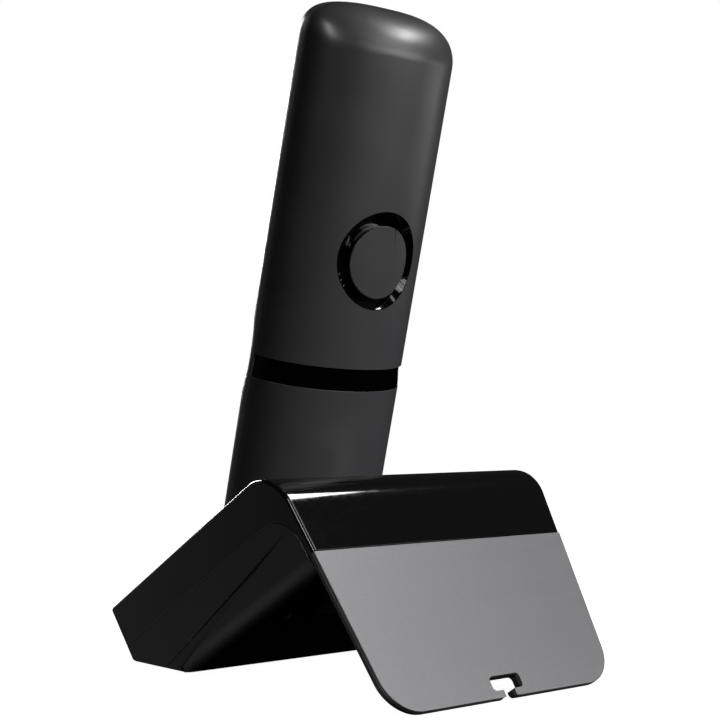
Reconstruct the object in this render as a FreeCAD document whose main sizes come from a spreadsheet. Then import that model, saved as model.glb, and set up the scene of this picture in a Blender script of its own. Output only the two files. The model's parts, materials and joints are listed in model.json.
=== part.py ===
"""Cordless phone standing in its folded, tent-shaped charging base.

Frame: +Z up, +Y towards the silver rear leg, origin under the middle of the base on the table.
The handset stands in a pocket of the slanted front block and lifts out along its own leaning axis.
"""
import FreeCAD, Part
import math
import os
import Sketcher

V = FreeCAD.Vector
doc = FreeCAD.newDocument("cordless_phone")

# ---------------------------------------------------------------- driving dimensions
SIZES = [
    # base
    ("base_depth", 114.9, "front edge of the top face to the foot of the leg"),
    ("table_width", 73.6, "width of the flanks at the table"),
    ("flank_draft", 8.3, "degrees that each flank leans outwards"),
    ("front_height", 14.55, "height of the front edge of the top face"),
    ("top_slope", 27.9, "degrees that the top face rises to the rear"),
    ("leg_slope", 57.17, "degrees that the leg falls to the rear"),
    ("front_slope", 58.5, "degrees that the front end face falls back"),
    ("slab_thickness", 28.2, "front block, square to its top face"),
    ("apex_radius", 12.4, "outer bend between top face and leg"),
    ("band_length", 23.553, "gloss band, from the corner of the fold down the leg's face"),
    ("leg_thickness", 2.9, "leg plate with its panel"),
    ("panel_thickness", 1.0, "silver panel alone"),
    ("leg_corner", 8.8, "radius of the two lower corners of the leg"),
    ("skirt_depth", 11.5, "gloss skirt on the flank, square to the top face"),
    ("seam_radius", 9.6, "bend of the seam below the apex"),
    ("base_wall", 2.2, "wall of both base shells"),
    ("foot_height", 0.5, "how far the rubber feet stand proud"),
    ("foot_radius", 4.0, "rubber foot"),
    ("foot_x", 18.0, "rubber feet from the middle"),
    ("foot_y", 26.0, "rubber feet behind the front edge"),
    ("foot_gap", 0.1, "clearance round a foot in its well"),
    ("underside_round", 4.5, "soft edge between flank and underside"),
    ("slot_width", 10.0, "window of the cable slot"),
    ("slot_height", 3.6, "window of the cable slot"),
    ("slot_lift", 2.0, "window of the cable slot above the edge of the leg"),
    ("neck_width", 3.6, "slit from the window to the edge of the leg"),
    ("slot_corner", 1.1, "corners of the window"),
    # handset
    ("lean", 14.4, "degrees that the handset leans back"),
    ("seat_up", 30.63, "middle of the handset's bottom behind the front edge, along the top face"),
    ("seat_sink", 6.15, "middle of the handset's bottom below the top face"),
    ("handset_length", 157.0, "bottom to top"),
    ("handset_width", 48.0, "widest"),
    ("back_depth", 16.5, "seam to the crown of the rounded back"),
    ("front_depth", 5.6, "seam to the front face"),
    ("front_round", 4.4, "edge of the front face"),
    ("dome_rise", 15.0, "height over which the top closes"),
    ("dome_side_power", 2.8, "squareness of the top seen from the front"),
    ("dome_back_power", 1.6, "squareness of the top seen from the side"),
    ("bottom_corner", 6.0, "lower corners seen from the front"),
    ("top_corner", 8.0, "upper corners of the front shell"),
    ("crown_radius", 55.0, "arched top edge of the front shell"),
    ("handset_wall", 1.6, "wall of both handset shells"),
    ("bottom_plate", 1.6, "bottom of the back shell"),
    ("waist_low", 56.4, "lower edge of the waist band"),
    ("waist_width", 5.9, "width of the waist band"),
    ("waist_recess", 0.6, "how far the waist band lies back"),
    ("waist_thickness", 1.2, "waist band"),
    ("dip_low", 53.8, "lower end of the dip across the front face"),
    ("dip_width", 19.0, "length of the dip"),
    ("dip_depth", 1.3, "dip across the front face"),
    ("speaker_height", 91.3, "middle of the loudspeaker ring"),
    ("ring_radius", 12.8, "mouth of the conical ring"),
    ("ring_floor_radius", 10.4, "floor of the conical ring"),
    ("ring_depth", 3.4, "ring floor below the crown of the back"),
    ("cap_radius", 9.4, "round cap over the loudspeaker"),
    ("ringer_radius", 9.0, "loudspeaker"),
    ("ringer_thickness", 4.0, "loudspeaker"),
    # keys and display
    ("key_width", 11.0, "keypad key"),
    ("key_height", 7.4, "keypad key"),
    ("key_corner", 2.4, "corner of a keypad key"),
    ("key_column", 12.6, "keypad column pitch"),
    ("key_row", 10.0, "keypad row pitch"),
    ("first_row", 17.0, "lowest keypad row above the handset's bottom"),
    ("key_proud", 0.7, "keys above the front face"),
    ("key_travel", 0.4, "press of a key"),
    ("key_gap", 0.25, "clearance round a key"),
    ("key_flange", 0.45, "thickness of a key's flange"),
    ("call_row", 79.5, "talk and end keys and the rocker"),
    ("call_column", 14.5, "talk and end keys from the middle"),
    ("soft_row", 90.5, "soft keys"),
    ("soft_height", 5.0, "soft keys"),
    ("soft_corner", 1.9, "corner of a soft key"),
    ("call_width", 8.4, "talk, end and soft keys"),
    ("call_height", 10.5, "talk and end keys"),
    ("call_corner", 3.4, "corner of the talk and end keys"),
    ("rocker_width", 13.0, "navigation rocker"),
    ("rocker_height", 12.0, "navigation rocker"),
    ("rocker_corner", 4.8, "corner of the rocker"),
    ("window_width", 38.0, "display window"),
    ("window_height", 44.0, "display window"),
    ("window_low", 97.5, "lower edge of the display window"),
    ("window_thickness", 0.9, "display window"),
    ("window_corner", 4.0, "corner of the display window"),
    ("window_gap", 0.1, "clearance round the display window"),
    ("window_ledge", 2.0, "ledge that carries the display window"),
    ("earpiece_height", 149.0, "earpiece slot"),
    ("earpiece_width", 12.0, "earpiece slot"),
    ("earpiece_slit", 1.8, "earpiece slot"),
    # inside the handset
    ("board_thickness", 1.0, "handset circuit board"),
    ("board_front", 2.2, "seam to the front of the handset board"),
    ("handset_board_low", 5.0, "lower end of the handset board"),
    ("handset_board_width", 42.0, "handset circuit board"),
    ("board_end_gap", 1.0, "between the handset board and the receiver"),
    ("receiver_radius", 5.0, "earpiece receiver"),
    ("receiver_drop", 1.0, "receiver below the earpiece slot"),
    ("receiver_back", 1.2, "seam to the back of the receiver"),
    ("microphone_height", 8.5, "microphone above the handset's bottom"),
    ("microphone_radius", 2.0, "microphone"),
    ("microphone_hole", 0.7, "radius of the hole in the front"),
    ("shield_height", 118.0, "middle of the radio shield"),
    ("shield_width", 30.0, "radio shield"),
    ("shield_length", 26.0, "radio shield"),
    ("shield_thickness", 2.5, "radio shield"),
    ("aerial_height", 134.0, "lower edge of the handset aerial"),
    ("aerial_width", 28.0, "handset aerial"),
    ("mat_thickness", 0.8, "rubber key mats"),
    ("cell_radius", 5.25, "AAA cell"),
    ("cell_length", 44.5, "AAA cell"),
    ("cell_offset", 5.45, "AAA cell from the middle"),
    ("cell_depth", 8.0, "axis of the cells behind the seam"),
    ("cell_low", 6.0, "lower end of the cells"),
    ("cover_gap", 0.1, "between the battery cover and the waist band"),
    ("cover_lift", 0.15, "between the battery cover and the bottom plate"),
    ("pad_size", 5.0, "charging pad"),
    ("pad_offset", 8.0, "charging pad from the middle"),
    ("pad_depth", 6.0, "charging pad behind the seam"),
    # pocket of the base
    ("pocket_gap", 0.5, "clearance between handset and pocket"),
    ("seat_gap", 0.05, "clearance under the handset"),
    ("cup_wall", 1.6, "wall of the pocket liner"),
    ("cup_floor", 2.2, "floor of the pocket liner"),
    ("cup_fit", 0.1, "clearance round the pocket liner"),
    ("pin_radius", 1.1, "charging pin"),
    ("pin_collar", 1.8, "collar of a charging pin"),
    ("pin_travel", 0.8, "charging pin"),
    ("pin_bore_gap", 0.08, "clearance of a charging pin in its bore"),
    ("pin_gap", 0.05, "clearance between pin and pad"),
    ("carrier_height", 8.0, "block that guides the charging pins"),
    # page key and light
    ("page_width", 14.0, "page key"),
    ("page_height", 6.0, "page key"),
    ("page_up", 10.0, "page key above the front edge, along the top face"),
    ("page_travel", 0.6, "press of the page key"),
    ("page_proud", 0.6, "page key above the top face"),
    ("light_radius", 1.2, "charging light"),
    ("light_offset", 13.0, "charging light from the middle"),
    # sockets under the base
    ("socket_clearance", 0.8007, "between the pocket liner and the line socket"),
    ("socket_roof_gap", 0.4, "between the mouths of the sockets and the roof of the bay"),
    ("bay_rise", 10.3, "roof of the socket bay above the lower edge of its wall"),
    ("bay_width", 46.0, "socket bay"),
    ("line_width", 10.0, "mouth of the line socket"),
    ("line_height", 6.8, "mouth of the line socket"),
    ("line_depth", 12.0, "mouth of the line socket"),
    ("line_offset", 10.0, "line socket from the middle"),
    ("inlet_radius", 2.75, "mouth of the power inlet"),
    ("inlet_depth", 9.0, "mouth of the power inlet"),
    ("socket_wall", 1.4, "walls of both sockets"),
    ("socket_gap", 0.02, "between the sockets and the wall of the bay"),
    # fasteners
    ("screw_head", 2.6, "pan head radius"),
    ("screw_head_height", 1.1, "pan head"),
    ("screw_shank", 1.25, "shank radius"),
    ("screw_length", 9.0, "shank"),
    ("head_gap", 0.3, "clearance round a screw head"),
    ("shank_gap", 0.15, "clearance round a shank in the lower shell"),
    ("bite", 0.02, "clearance of a shank in its boss"),
    ("boss_radius", 3.0, "screw boss"),
    ("front_boss_x", 29.5, "front screws from the middle"),
    ("front_boss_y", 15.5, "front screws behind the front edge"),
    ("rear_boss_x", 32.0, "rear screws from the middle"),
    ("rear_boss_y", 66.5, "rear screws behind the front edge"),
    ("rear_boss_rise", 4.6, "seat of the rear screw heads above the underside"),
    ("front_boss_rise", 1.3, "seat of the front screw heads above the underside"),
    ("leg_boss_x", 20.0, "leg screws from the middle"),
    ("leg_boss_down", 2.9, "leg screws below the gloss band"),
    ("leg_screw_length", 3.6, "shank of a leg screw"),
    ("board_lift", 3.6, "base board above the underside"),
    ("board_up", 36.0, "middle of the base board behind the front edge, along the top face"),
    ("board_width", 56.0, "base board"),
    ("board_length", 24.0, "base board"),
    ("base_board_thickness", 1.6, "base circuit board"),
]

sizes = doc.addObject("Spreadsheet::Sheet", "sizes")
for row, (alias, value, note) in enumerate(SIZES, start=1):
    sizes.set(f"A{row}", note)
    sizes.set(f"B{row}", str(value))
    sizes.setAlias(f"B{row}", alias)
doc.recompute()


def size(alias):
    """Value of one driving dimension."""
    return float(sizes.get(alias))


# ---------------------------------------------------------------- places worked out from the sizes
TOP = "sizes.top_slope"
LEG = "sizes.leg_slope"
FRONT = "sizes.front_slope"
PLACES = [
    ("half_depth", "sizes.base_depth / 2"),
    ("leg_foot_z", f"sizes.leg_thickness * cos({LEG})"),
    ("apex_y", f"(places.leg_foot_z - sizes.front_height + (tan({LEG}) - tan({TOP})) * places.half_depth)"
               f" / (tan({TOP}) + tan({LEG}))"),
    ("apex_z", f"sizes.front_height + tan({TOP}) * (places.apex_y + places.half_depth)"),
    ("band_height", f"places.apex_z - sizes.band_length * sin({LEG})"),
    ("band_y", f"places.half_depth - (places.band_height - places.leg_foot_z) / tan({LEG})"),
    ("leg_length", f"(places.band_height - places.leg_foot_z) / sin({LEG})"),
    ("half_width", "sizes.handset_width / 2"),
    ("waist_top", "sizes.waist_low + sizes.waist_width"),
    ("dome_low", "sizes.handset_length - sizes.dome_rise"),
    ("leg_core", "sizes.leg_thickness - sizes.panel_thickness"),
    ("key_back", "sizes.front_depth - sizes.handset_wall - 0.05"),
    ("seat_y", f"-places.half_depth + sizes.seat_up * cos({TOP}) + sizes.seat_sink * sin({TOP})"),
    ("seat_z", f"sizes.front_height + sizes.seat_up * sin({TOP}) - sizes.seat_sink * cos({TOP})"),
    ("cup_depth", "sizes.back_depth + sizes.pocket_gap + sizes.cup_wall"),
    ("socket_rise", f"sizes.front_height - sizes.slab_thickness / cos({TOP}) + sizes.bay_rise"
                    f" - sizes.socket_roof_gap + sizes.socket_wall - places.seat_z"),
    ("bay_back", f"(places.seat_y + places.half_depth + places.cup_depth / cos(sizes.lean)"
                 f" + places.socket_rise * tan(sizes.lean) + sizes.socket_clearance + sizes.line_depth"
                 f" + sizes.base_wall + sizes.socket_gap) / (1 - tan({TOP}) * tan(sizes.lean))"),
    ("bay_front", "-places.half_depth + places.bay_back"),
    ("bay_roof", f"sizes.front_height + places.bay_back * tan({TOP}) - sizes.slab_thickness / cos({TOP})"
                 f" + sizes.bay_rise"),
    ("socket_middle", "places.bay_roof - sizes.line_height / 2 - sizes.socket_roof_gap"),
    ("front_seat", "sizes.foot_height + sizes.front_boss_rise"),
    ("rear_seat", f"sizes.front_height + sizes.rear_boss_y * tan({TOP}) - sizes.slab_thickness / cos({TOP})"
                  f" + sizes.rear_boss_rise"),
]

places = doc.addObject("Spreadsheet::Sheet", "places")
for row, (alias, formula) in enumerate(PLACES, start=1):
    places.set(f"A{row}", alias)
    places.setAlias(f"B{row}", alias)
for row, (alias, formula) in enumerate(PLACES, start=1):
    places.set(f"B{row}", "=" + formula.replace("places.", ""))
doc.recompute()


def place(alias):
    """Value of one worked-out place."""
    return float(places.get(alias))


# ---------------------------------------------------------------- frames of the leaning pieces
def moved(x="0", y="0", z="0", turn="0", about=(1, 0, 0)):
    """Placement expression: a shift, then a turn about an axis."""
    axis = "; ".join(str(part) for part in about)
    return f"placement(vector({x}; {y}; {z}); rotation(vector({axis}); {turn}))"


UPRIGHT = moved()
HANDSET = moved(y="places.seat_y", z="places.seat_z", turn="-sizes.lean")
HANDSET_FRONT = HANDSET + " * " + moved(turn="90")
SLAB = moved(y="-places.half_depth", z="sizes.front_height", turn=TOP)
LEG_FACE = moved(y="places.band_y", z="places.band_height", turn=f"-({LEG})")

PIECES = []


def bind(target, properties):
    """Bind properties of an object to expressions."""
    for name, expression in properties.items():
        target.setExpression(name, str(expression))
    return target


def piece(target, label):
    """Name a finished sub-part; its label names its file."""
    target.Label = label
    PIECES.append(target)
    return target


# ---------------------------------------------------------------- primitives
def box(name, frame, low, extent):
    """Box from its lowest corner and its three lengths, in a frame."""
    target = doc.addObject("Part::Box", name)
    bind(target, dict(zip(("Length", "Width", "Height"), extent)))
    return bind(target, {"Placement": f"{frame} * {moved(*low)}"})


def cylinder(name, frame, base, radius, height, turn="0", about=(1, 0, 0)):
    """Cylinder along its local Z, which may be turned, in a frame."""
    target = doc.addObject("Part::Cylinder", name)
    bind(target, {"Radius": radius, "Height": height})
    return bind(target, {"Placement": f"{frame} * {moved(*base, turn=turn, about=about)}"})


def cone(name, frame, base, radius_low, radius_high, height, turn="0", about=(1, 0, 0)):
    """Cone along its local Z in a frame."""
    target = doc.addObject("Part::Cone", name)
    bind(target, {"Radius1": radius_low, "Radius2": radius_high, "Height": height})
    return bind(target, {"Placement": f"{frame} * {moved(*base, turn=turn, about=about)}"})


def fuse(name, shapes):
    """Union."""
    target = doc.addObject("Part::MultiFuse", name)
    target.Shapes = shapes
    return target


def common(name, shapes):
    """Intersection."""
    target = doc.addObject("Part::MultiCommon", name)
    target.Shapes = shapes
    return target


def cut(name, base, tools):
    """Base without its tools."""
    tool = tools[0] if len(tools) == 1 else fuse(name + "_tools", tools)
    target = doc.addObject("Part::Cut", name)
    target.Base = base
    target.Tool = tool
    return target


def group(name, shapes):
    """Separate solids that share one node."""
    target = doc.addObject("Part::Compound", name)
    target.Links = shapes
    return target


# ---------------------------------------------------------------- sketched bodies
def origin_plane(body, role):
    """One of a body's own origin planes."""
    return [feature for feature in body.Origin.OriginFeatures if feature.Role == role][0]


def outline_sketch(body, role, corners):
    """Closed polygon on an origin plane, each corner bound to a pair of expressions."""
    sketch = body.newObject("Sketcher::SketchObject", body.Name + "_sketch")
    sketch.AttachmentSupport = [(origin_plane(body, role), "")]
    sketch.MapMode = "FlatFace"
    start = [corner_guess(corner) for corner in corners]
    count = len(corners)
    for index in range(count):
        first = V(*start[index], 0)
        second = V(*start[(index + 1) % count], 0)
        sketch.addGeometry(Part.LineSegment(first, second), False)
    for index in range(count):
        sketch.addConstraint(Sketcher.Constraint("Coincident", index, 2, (index + 1) % count, 1))
    for index, corner in enumerate(corners):
        for kind, value, expression in zip(("DistanceX", "DistanceY"), start[index], corner):
            number = sketch.addConstraint(Sketcher.Constraint(kind, -1, 1, index, 1, value))
            sketch.setExpression(f"Constraints[{number}]", expression)
    return sketch


def corner_guess(corner):
    """Numbers of a corner's two expressions, worked out on a spare sheet."""
    numbers = []
    for expression in corner:
        scratch.set("A1", "=" + expression)
        doc.recompute([scratch])
        numbers.append(float(scratch.get("A1")))
    return numbers


scratch = doc.addObject("Spreadsheet::Sheet", "scratch")


def pad(body, sketch, length, symmetric=False):
    """Pad a sketch by an expression."""
    feature = body.newObject("PartDesign::Pad", body.Name + "_pad")
    feature.Profile = sketch
    feature.setExpression("Length", str(length))
    feature.SideType = "Symmetric" if symmetric else "One side"
    return feature


def edges_where(shape, test):
    """Names of the straight edges whose direction and middle pass a test."""
    names = []
    for number, edge in enumerate(shape.Edges, start=1):
        if edge.Curve.TypeId != "Part::GeomLine":
            continue
        middle = edge.valueAt((edge.FirstParameter + edge.LastParameter) / 2)
        direction = edge.tangentAt(edge.FirstParameter)
        if test(direction, middle):
            names.append(f"Edge{number}")
    return names


def round_edges(body, feature, names, radius):
    """Fillet edges of a body's feature by an expression."""
    rounded = body.newObject("PartDesign::Fillet", feature.Name + "_round")
    rounded.Base = (feature, names)
    rounded.setExpression("Radius", str(radius))
    doc.recompute()
    return rounded


def plate(name, frame, middle, extent, low, thickness, radius=None):
    """Rectangular plate square to its frame's Z, with rounded corners."""
    body = doc.addObject("PartDesign::Body", name)
    half = [f"({part}) / 2" for part in extent]
    corners = [(f"-{half[0]}", f"-{half[1]}"), (half[0], f"-{half[1]}"),
               (half[0], half[1]), (f"-{half[0]}", half[1])]
    sketch = outline_sketch(body, "XY_Plane", corners)
    padded = pad(body, sketch, thickness)
    body.setExpression("Placement", f"{frame} * {moved(middle[0], middle[1], low)}")
    doc.recompute()
    if radius is not None:
        upright = edges_where(padded.Shape, lambda direction, point: abs(direction.z) > 0.9)
        round_edges(body, padded, upright, radius)
    return body


def prism(name, role, corners, length, frame=UPRIGHT):
    """Polygon on an origin plane, padded to both sides."""
    body = doc.addObject("PartDesign::Body", name)
    sketch = outline_sketch(body, role, corners)
    pad(body, sketch, length, symmetric=True)
    body.setExpression("Placement", frame)
    doc.recompute()
    return body


# ---------------------------------------------------------------- base: lines of the folded section
FAR = "300"


def under_fold(top_inset, leg_inset):
    """Corner below the apex, at two depths under the top face and the leg's face."""
    sweep = f"sin({TOP} + {LEG})"
    across = f"places.apex_y + (({top_inset}) * cos({LEG}) - ({leg_inset}) * cos({TOP})) / {sweep}"
    down = f"places.apex_z - (({top_inset}) * sin({LEG}) + ({leg_inset}) * sin({TOP})) / {sweep}"
    return across, down


def front_end(depth, inset):
    """Point at a depth under the top face and an inset behind the front end face."""
    along = f"((({depth}) / tan({FRONT} + {TOP})) + ({inset}) / sin({FRONT} + {TOP}))"
    across = f"-places.half_depth + {along} * cos({TOP}) + ({depth}) * sin({TOP})"
    down = f"sizes.front_height + {along} * sin({TOP}) - ({depth}) * cos({TOP})"
    return across, down


def front_foot(height, inset):
    """Point at a height on a line behind the front end face."""
    across = (f"-places.half_depth + (sizes.front_height - ({height})) / tan({FRONT})"
              f" + ({inset}) / sin({FRONT})")
    return across, str(height)


def rear_foot(height, depth):
    """Point at a height on a line under the top face."""
    across = f"-places.half_depth + (({height}) - sizes.front_height) / tan({TOP}) + ({depth}) / sin({TOP})"
    return across, str(height)


def flanks(name, inset):
    """Wedge between the two leaning flanks, as long as the base and more."""
    foot = f"(sizes.table_width / 2 - ({inset}) / cos(sizes.flank_draft))"
    rise = "100"
    crest = f"({foot} + {rise} * tan(sizes.flank_draft))"
    dip = "10"
    sole = f"({foot} - {dip} * tan(sizes.flank_draft))"
    corners = [(f"-{sole}", f"-{dip}"), (sole, f"-{dip}"), (crest, rise), (f"-{crest}", rise)]
    return prism(name, "XZ_Plane", corners, FAR)


def bend(body, at, radius):
    """Round the long straight edge of a folded section that runs across at a place."""
    feature = body.Tip

    def near(direction, point):
        offset = math.hypot(point.y - at[0], point.z - at[1])
        return abs(direction.x) > 0.9 and offset < 0.01

    round_edges(body, feature, edges_where(feature.Shape, near), radius)


def band_foot(depth):
    """Foot of the gloss band at a depth under the leg's face."""
    return f"places.band_y - ({depth}) * sin({LEG})", f"places.band_height - ({depth}) * cos({LEG})"


def make_base_shells():
    """Gloss top shell and satin lower shell of the front block."""
    wall = "sizes.base_wall"
    seam = under_fold("sizes.skirt_depth", "sizes.leg_thickness")
    apex = ("places.apex_y", "places.apex_z")
    brow = front_end("0", "0")
    top = prism("top_section", "YZ_Plane",
                [brow, apex, band_foot("0"), band_foot("sizes.leg_thickness"), seam,
                 front_end("sizes.skirt_depth", "0")], FAR)
    bend(top, corner_guess(apex), "sizes.apex_radius")
    bend(top, corner_guess(seam), "sizes.seam_radius")

    sole = "sizes.foot_height"
    heel = rear_foot(sole, "sizes.slab_thickness")
    crook = under_fold("sizes.slab_thickness", "sizes.leg_thickness")
    lower = prism("lower_section", "YZ_Plane",
                  [front_end("sizes.skirt_depth", "0"), front_foot(sole, "0"), heel, crook, seam], FAR)
    bend(lower, corner_guess(seam), "sizes.seam_radius")
    bend(lower, corner_guess(heel), "sizes.underside_round")

    floor = f"sizes.foot_height + {wall}"
    roof = under_fold(wall, f"sizes.leg_thickness + {wall}")
    hollow = prism("hollow_section", "YZ_Plane",
                   [front_end(wall, wall), front_foot(floor, wall),
                    rear_foot(floor, f"sizes.slab_thickness - {wall}"),
                    under_fold(f"sizes.slab_thickness - {wall}", f"sizes.leg_thickness + {wall}"), roof], FAR)
    bend(hollow, corner_guess(roof), f"sizes.seam_radius - 2")
    outside = flanks("flanks_outside", "0")
    inside = flanks("flanks_inside", wall)
    void = common("base_void", [hollow, inside])

    top_form = common("top_form", [top, outside])
    top_hollow = cut("top_hollow", top_form, [void])
    pocket = handset_section("pocket_hole", "sizes.pocket_gap + sizes.cup_wall + sizes.cup_fit",
                             "-sizes.cup_floor - sizes.seat_gap - sizes.cup_fit", "80")
    boss_room = fuse("boss_limit", [top_form, void])
    bosses = common("boss_set", [fuse("boss_posts", boss_posts()), boss_room])
    key_slot = plate("page_slot", SLAB, ("0", "sizes.page_up"),
                     ("sizes.page_width + 2 * sizes.key_gap", "sizes.page_height + 2 * sizes.key_gap"),
                     "-6", "12", "sizes.page_height / 2 - 0.01 + sizes.key_gap")
    light_hole = cylinder("light_hole", SLAB, ("sizes.light_offset", "sizes.page_up", "-6"),
                          "sizes.light_radius + 0.05", "12")
    top_body = fuse("top_body", [top_hollow, bosses])
    top_shell = cut("top_shell", top_body, [pocket, key_slot, light_hole] + screw_bores())
    piece(top_shell, "base_top_shell")

    lower_form = common("lower_form", [lower, outside])
    lower_hollow = cut("lower_hollow", lower_form, [void])
    towers = common("tower_room", [fuse("tower_posts", tower_posts() + board_posts()), lower_form])
    bay_walls = common("bay_block", [socket_bay("bay_outer", wall), lower_form])
    lower_body = fuse("lower_body", [lower_hollow, towers, bay_walls])
    tools = [socket_bay("bay_inner", "0")] + screw_wells() + foot_wells() + leg_boss_holes() + socket_mouths()
    lower_shell = cut("lower_shell", lower_body, tools)
    piece(lower_shell, "base_lower_shell")


def socket_bay(name, wall):
    """Notch in the underside whose front wall carries the sockets."""
    return box(name, UPRIGHT,
               (f"-sizes.bay_width / 2 - ({wall})", f"places.bay_front - ({wall})", "0"),
               (f"sizes.bay_width + 2 * ({wall})", f"sizes.bay_rise / tan({TOP}) + 1 + 2 * ({wall})",
                f"places.bay_roof + ({wall})"))


def spots():
    """The four screws: name, x, y and the height of the head's seat."""
    found = []
    for end in ("front", "rear"):
        for side, sign in (("left", "-"), ("right", "")):
            found.append((f"{end}_{side}", f"{sign}sizes.{end}_boss_x",
                          f"-places.half_depth + sizes.{end}_boss_y", f"places.{end}_seat"))
    return found


def boss_posts():
    """Posts under the top shell that take the screws."""
    return [cylinder(f"boss_{name}", UPRIGHT, (x, y, f"{seat} + sizes.base_wall"), "sizes.boss_radius", "60")
            for name, x, y, seat in spots()]


def tower_posts():
    """Thick places of the lower shell round the screw heads."""
    return [cylinder(f"tower_{name}", UPRIGHT, (x, y, "0"), "sizes.boss_radius + 1.6",
                     f"{seat} + sizes.base_wall - 0.02") for name, x, y, seat in spots()]


def board_posts():
    """Four posts of the lower shell that carry the base board."""
    return [cylinder(f"board_post_{number}", SLAB,
                     (f"{side}(sizes.board_width / 2 - 3.5)",
                      f"sizes.board_up {end} (sizes.board_length / 2 - 3)",
                      "-sizes.slab_thickness + 0.5"), "1.8", "sizes.board_lift - 0.5")
            for number, (side, end) in enumerate((("-", "-"), ("-", "+"), ("", "-"), ("", "+")))]


def screw_bores():
    """Pilot bores in the bosses."""
    return [cylinder(f"bore_{name}", UPRIGHT, (x, y, seat), "sizes.screw_shank + sizes.bite",
                     "sizes.screw_length + 1") for name, x, y, seat in spots()]


def screw_wells():
    """Counterbores and clearance holes of the lower shell."""
    wells = []
    for name, x, y, seat in spots():
        wells.append(cylinder(f"well_{name}", UPRIGHT, (x, y, "-1"), "sizes.screw_head + sizes.head_gap",
                              f"{seat} + 1"))
        wells.append(cylinder(f"pass_{name}", UPRIGHT, (x, y, "-1"), "sizes.screw_shank + sizes.shank_gap",
                              f"{seat} + sizes.base_wall + 2"))
    return wells


def make_base_screws():
    """Four pan-head screws that hold the two base shells together."""
    screws = []
    for name, x, y, seat in spots():
        head = cylinder(f"head_{name}", UPRIGHT, (x, y, f"{seat} - sizes.screw_head_height"),
                        "sizes.screw_head", "sizes.screw_head_height")
        shank = cylinder(f"shank_{name}", UPRIGHT, (x, y, seat), "sizes.screw_shank", "sizes.screw_length")
        screws.append(fuse(f"screw_{name}", [head, shank]))
    piece(group("base_screw_set", screws), "base_screws")


# ---------------------------------------------------------------- base: feet, leg, panel
def foot_spots():
    """Middles of the two rubber feet."""
    along = "-places.half_depth + sizes.foot_y"
    return [("left", "-sizes.foot_x", along), ("right", "sizes.foot_x", along)]


def foot_wells():
    """Shallow wells that the rubber feet are glued into."""
    return [cylinder(f"foot_well_{name}", UPRIGHT, (x, y, "-1"), "sizes.foot_radius + sizes.foot_gap",
                     "sizes.foot_height + 2")
            for name, x, y in foot_spots()]


def make_feet():
    """Rubber feet; the leg stands on its own edge."""
    feet = [cylinder(f"foot_{name}", UPRIGHT, (x, y, "0"), "sizes.foot_radius", "sizes.foot_height + 1")
            for name, x, y in foot_spots()]
    piece(group("foot_set", feet), "rubber_feet")


def leg_outline(name, inset, low, thickness):
    """Leg plate between the drafted flanks, rounded at its two lower corners."""
    body = doc.addObject("PartDesign::Body", name)

    def half(down):
        height = f"(places.band_height - ({down}) * sin({LEG}))"
        return f"(sizes.table_width / 2 + {height} * tan(sizes.flank_draft) - ({inset}))"

    foot = f"places.leg_length - ({inset})"
    corners = [(f"-{half('0')}", "0"), (half("0"), "0"), (half(foot), foot), (f"-{half(foot)}", foot)]
    sketch = outline_sketch(body, "XY_Plane", corners)
    padded = pad(body, sketch, thickness)
    body.setExpression("Placement", f"{LEG_FACE} * {moved(z=low)}")
    doc.recompute()
    reach = place("leg_length") / 2
    lower = edges_where(padded.Shape, lambda direction, point: abs(direction.z) > 0.9 and point.y > reach)
    round_edges(body, padded, lower, f"sizes.leg_corner - ({inset})")
    return body


def cable_slot(name, gap):
    """T-shaped slot: a window joined to the leg's edge by a narrow slit."""
    window_low = "places.leg_length - sizes.slot_lift - sizes.slot_height"
    window = plate(f"{name}_window", LEG_FACE,
                   ("0", f"{window_low} + sizes.slot_height / 2"),
                   (f"sizes.slot_width + 2 * ({gap})", f"sizes.slot_height + 2 * ({gap})"),
                   "-6", "12", "sizes.slot_corner")
    neck = box(f"{name}_neck", LEG_FACE,
               (f"-sizes.neck_width / 2 - ({gap})", f"{window_low} + sizes.slot_height / 2", "-6"),
               (f"sizes.neck_width + 2 * ({gap})", "sizes.slot_lift + sizes.slot_height", "12"))
    return [window, neck]


def leg_spots():
    """Screws of the leg."""
    return [("left", "-sizes.leg_boss_x"), ("right", "sizes.leg_boss_x")]


def leg_boss_holes():
    """Holes of the lower shell that the leg's bosses fill."""
    return [cylinder(f"leg_hole_{name}", LEG_FACE, (x, "sizes.leg_boss_down", "-sizes.leg_thickness - 6"),
                     "sizes.boss_radius - 0.4", "12") for name, x in leg_spots()]


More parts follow.
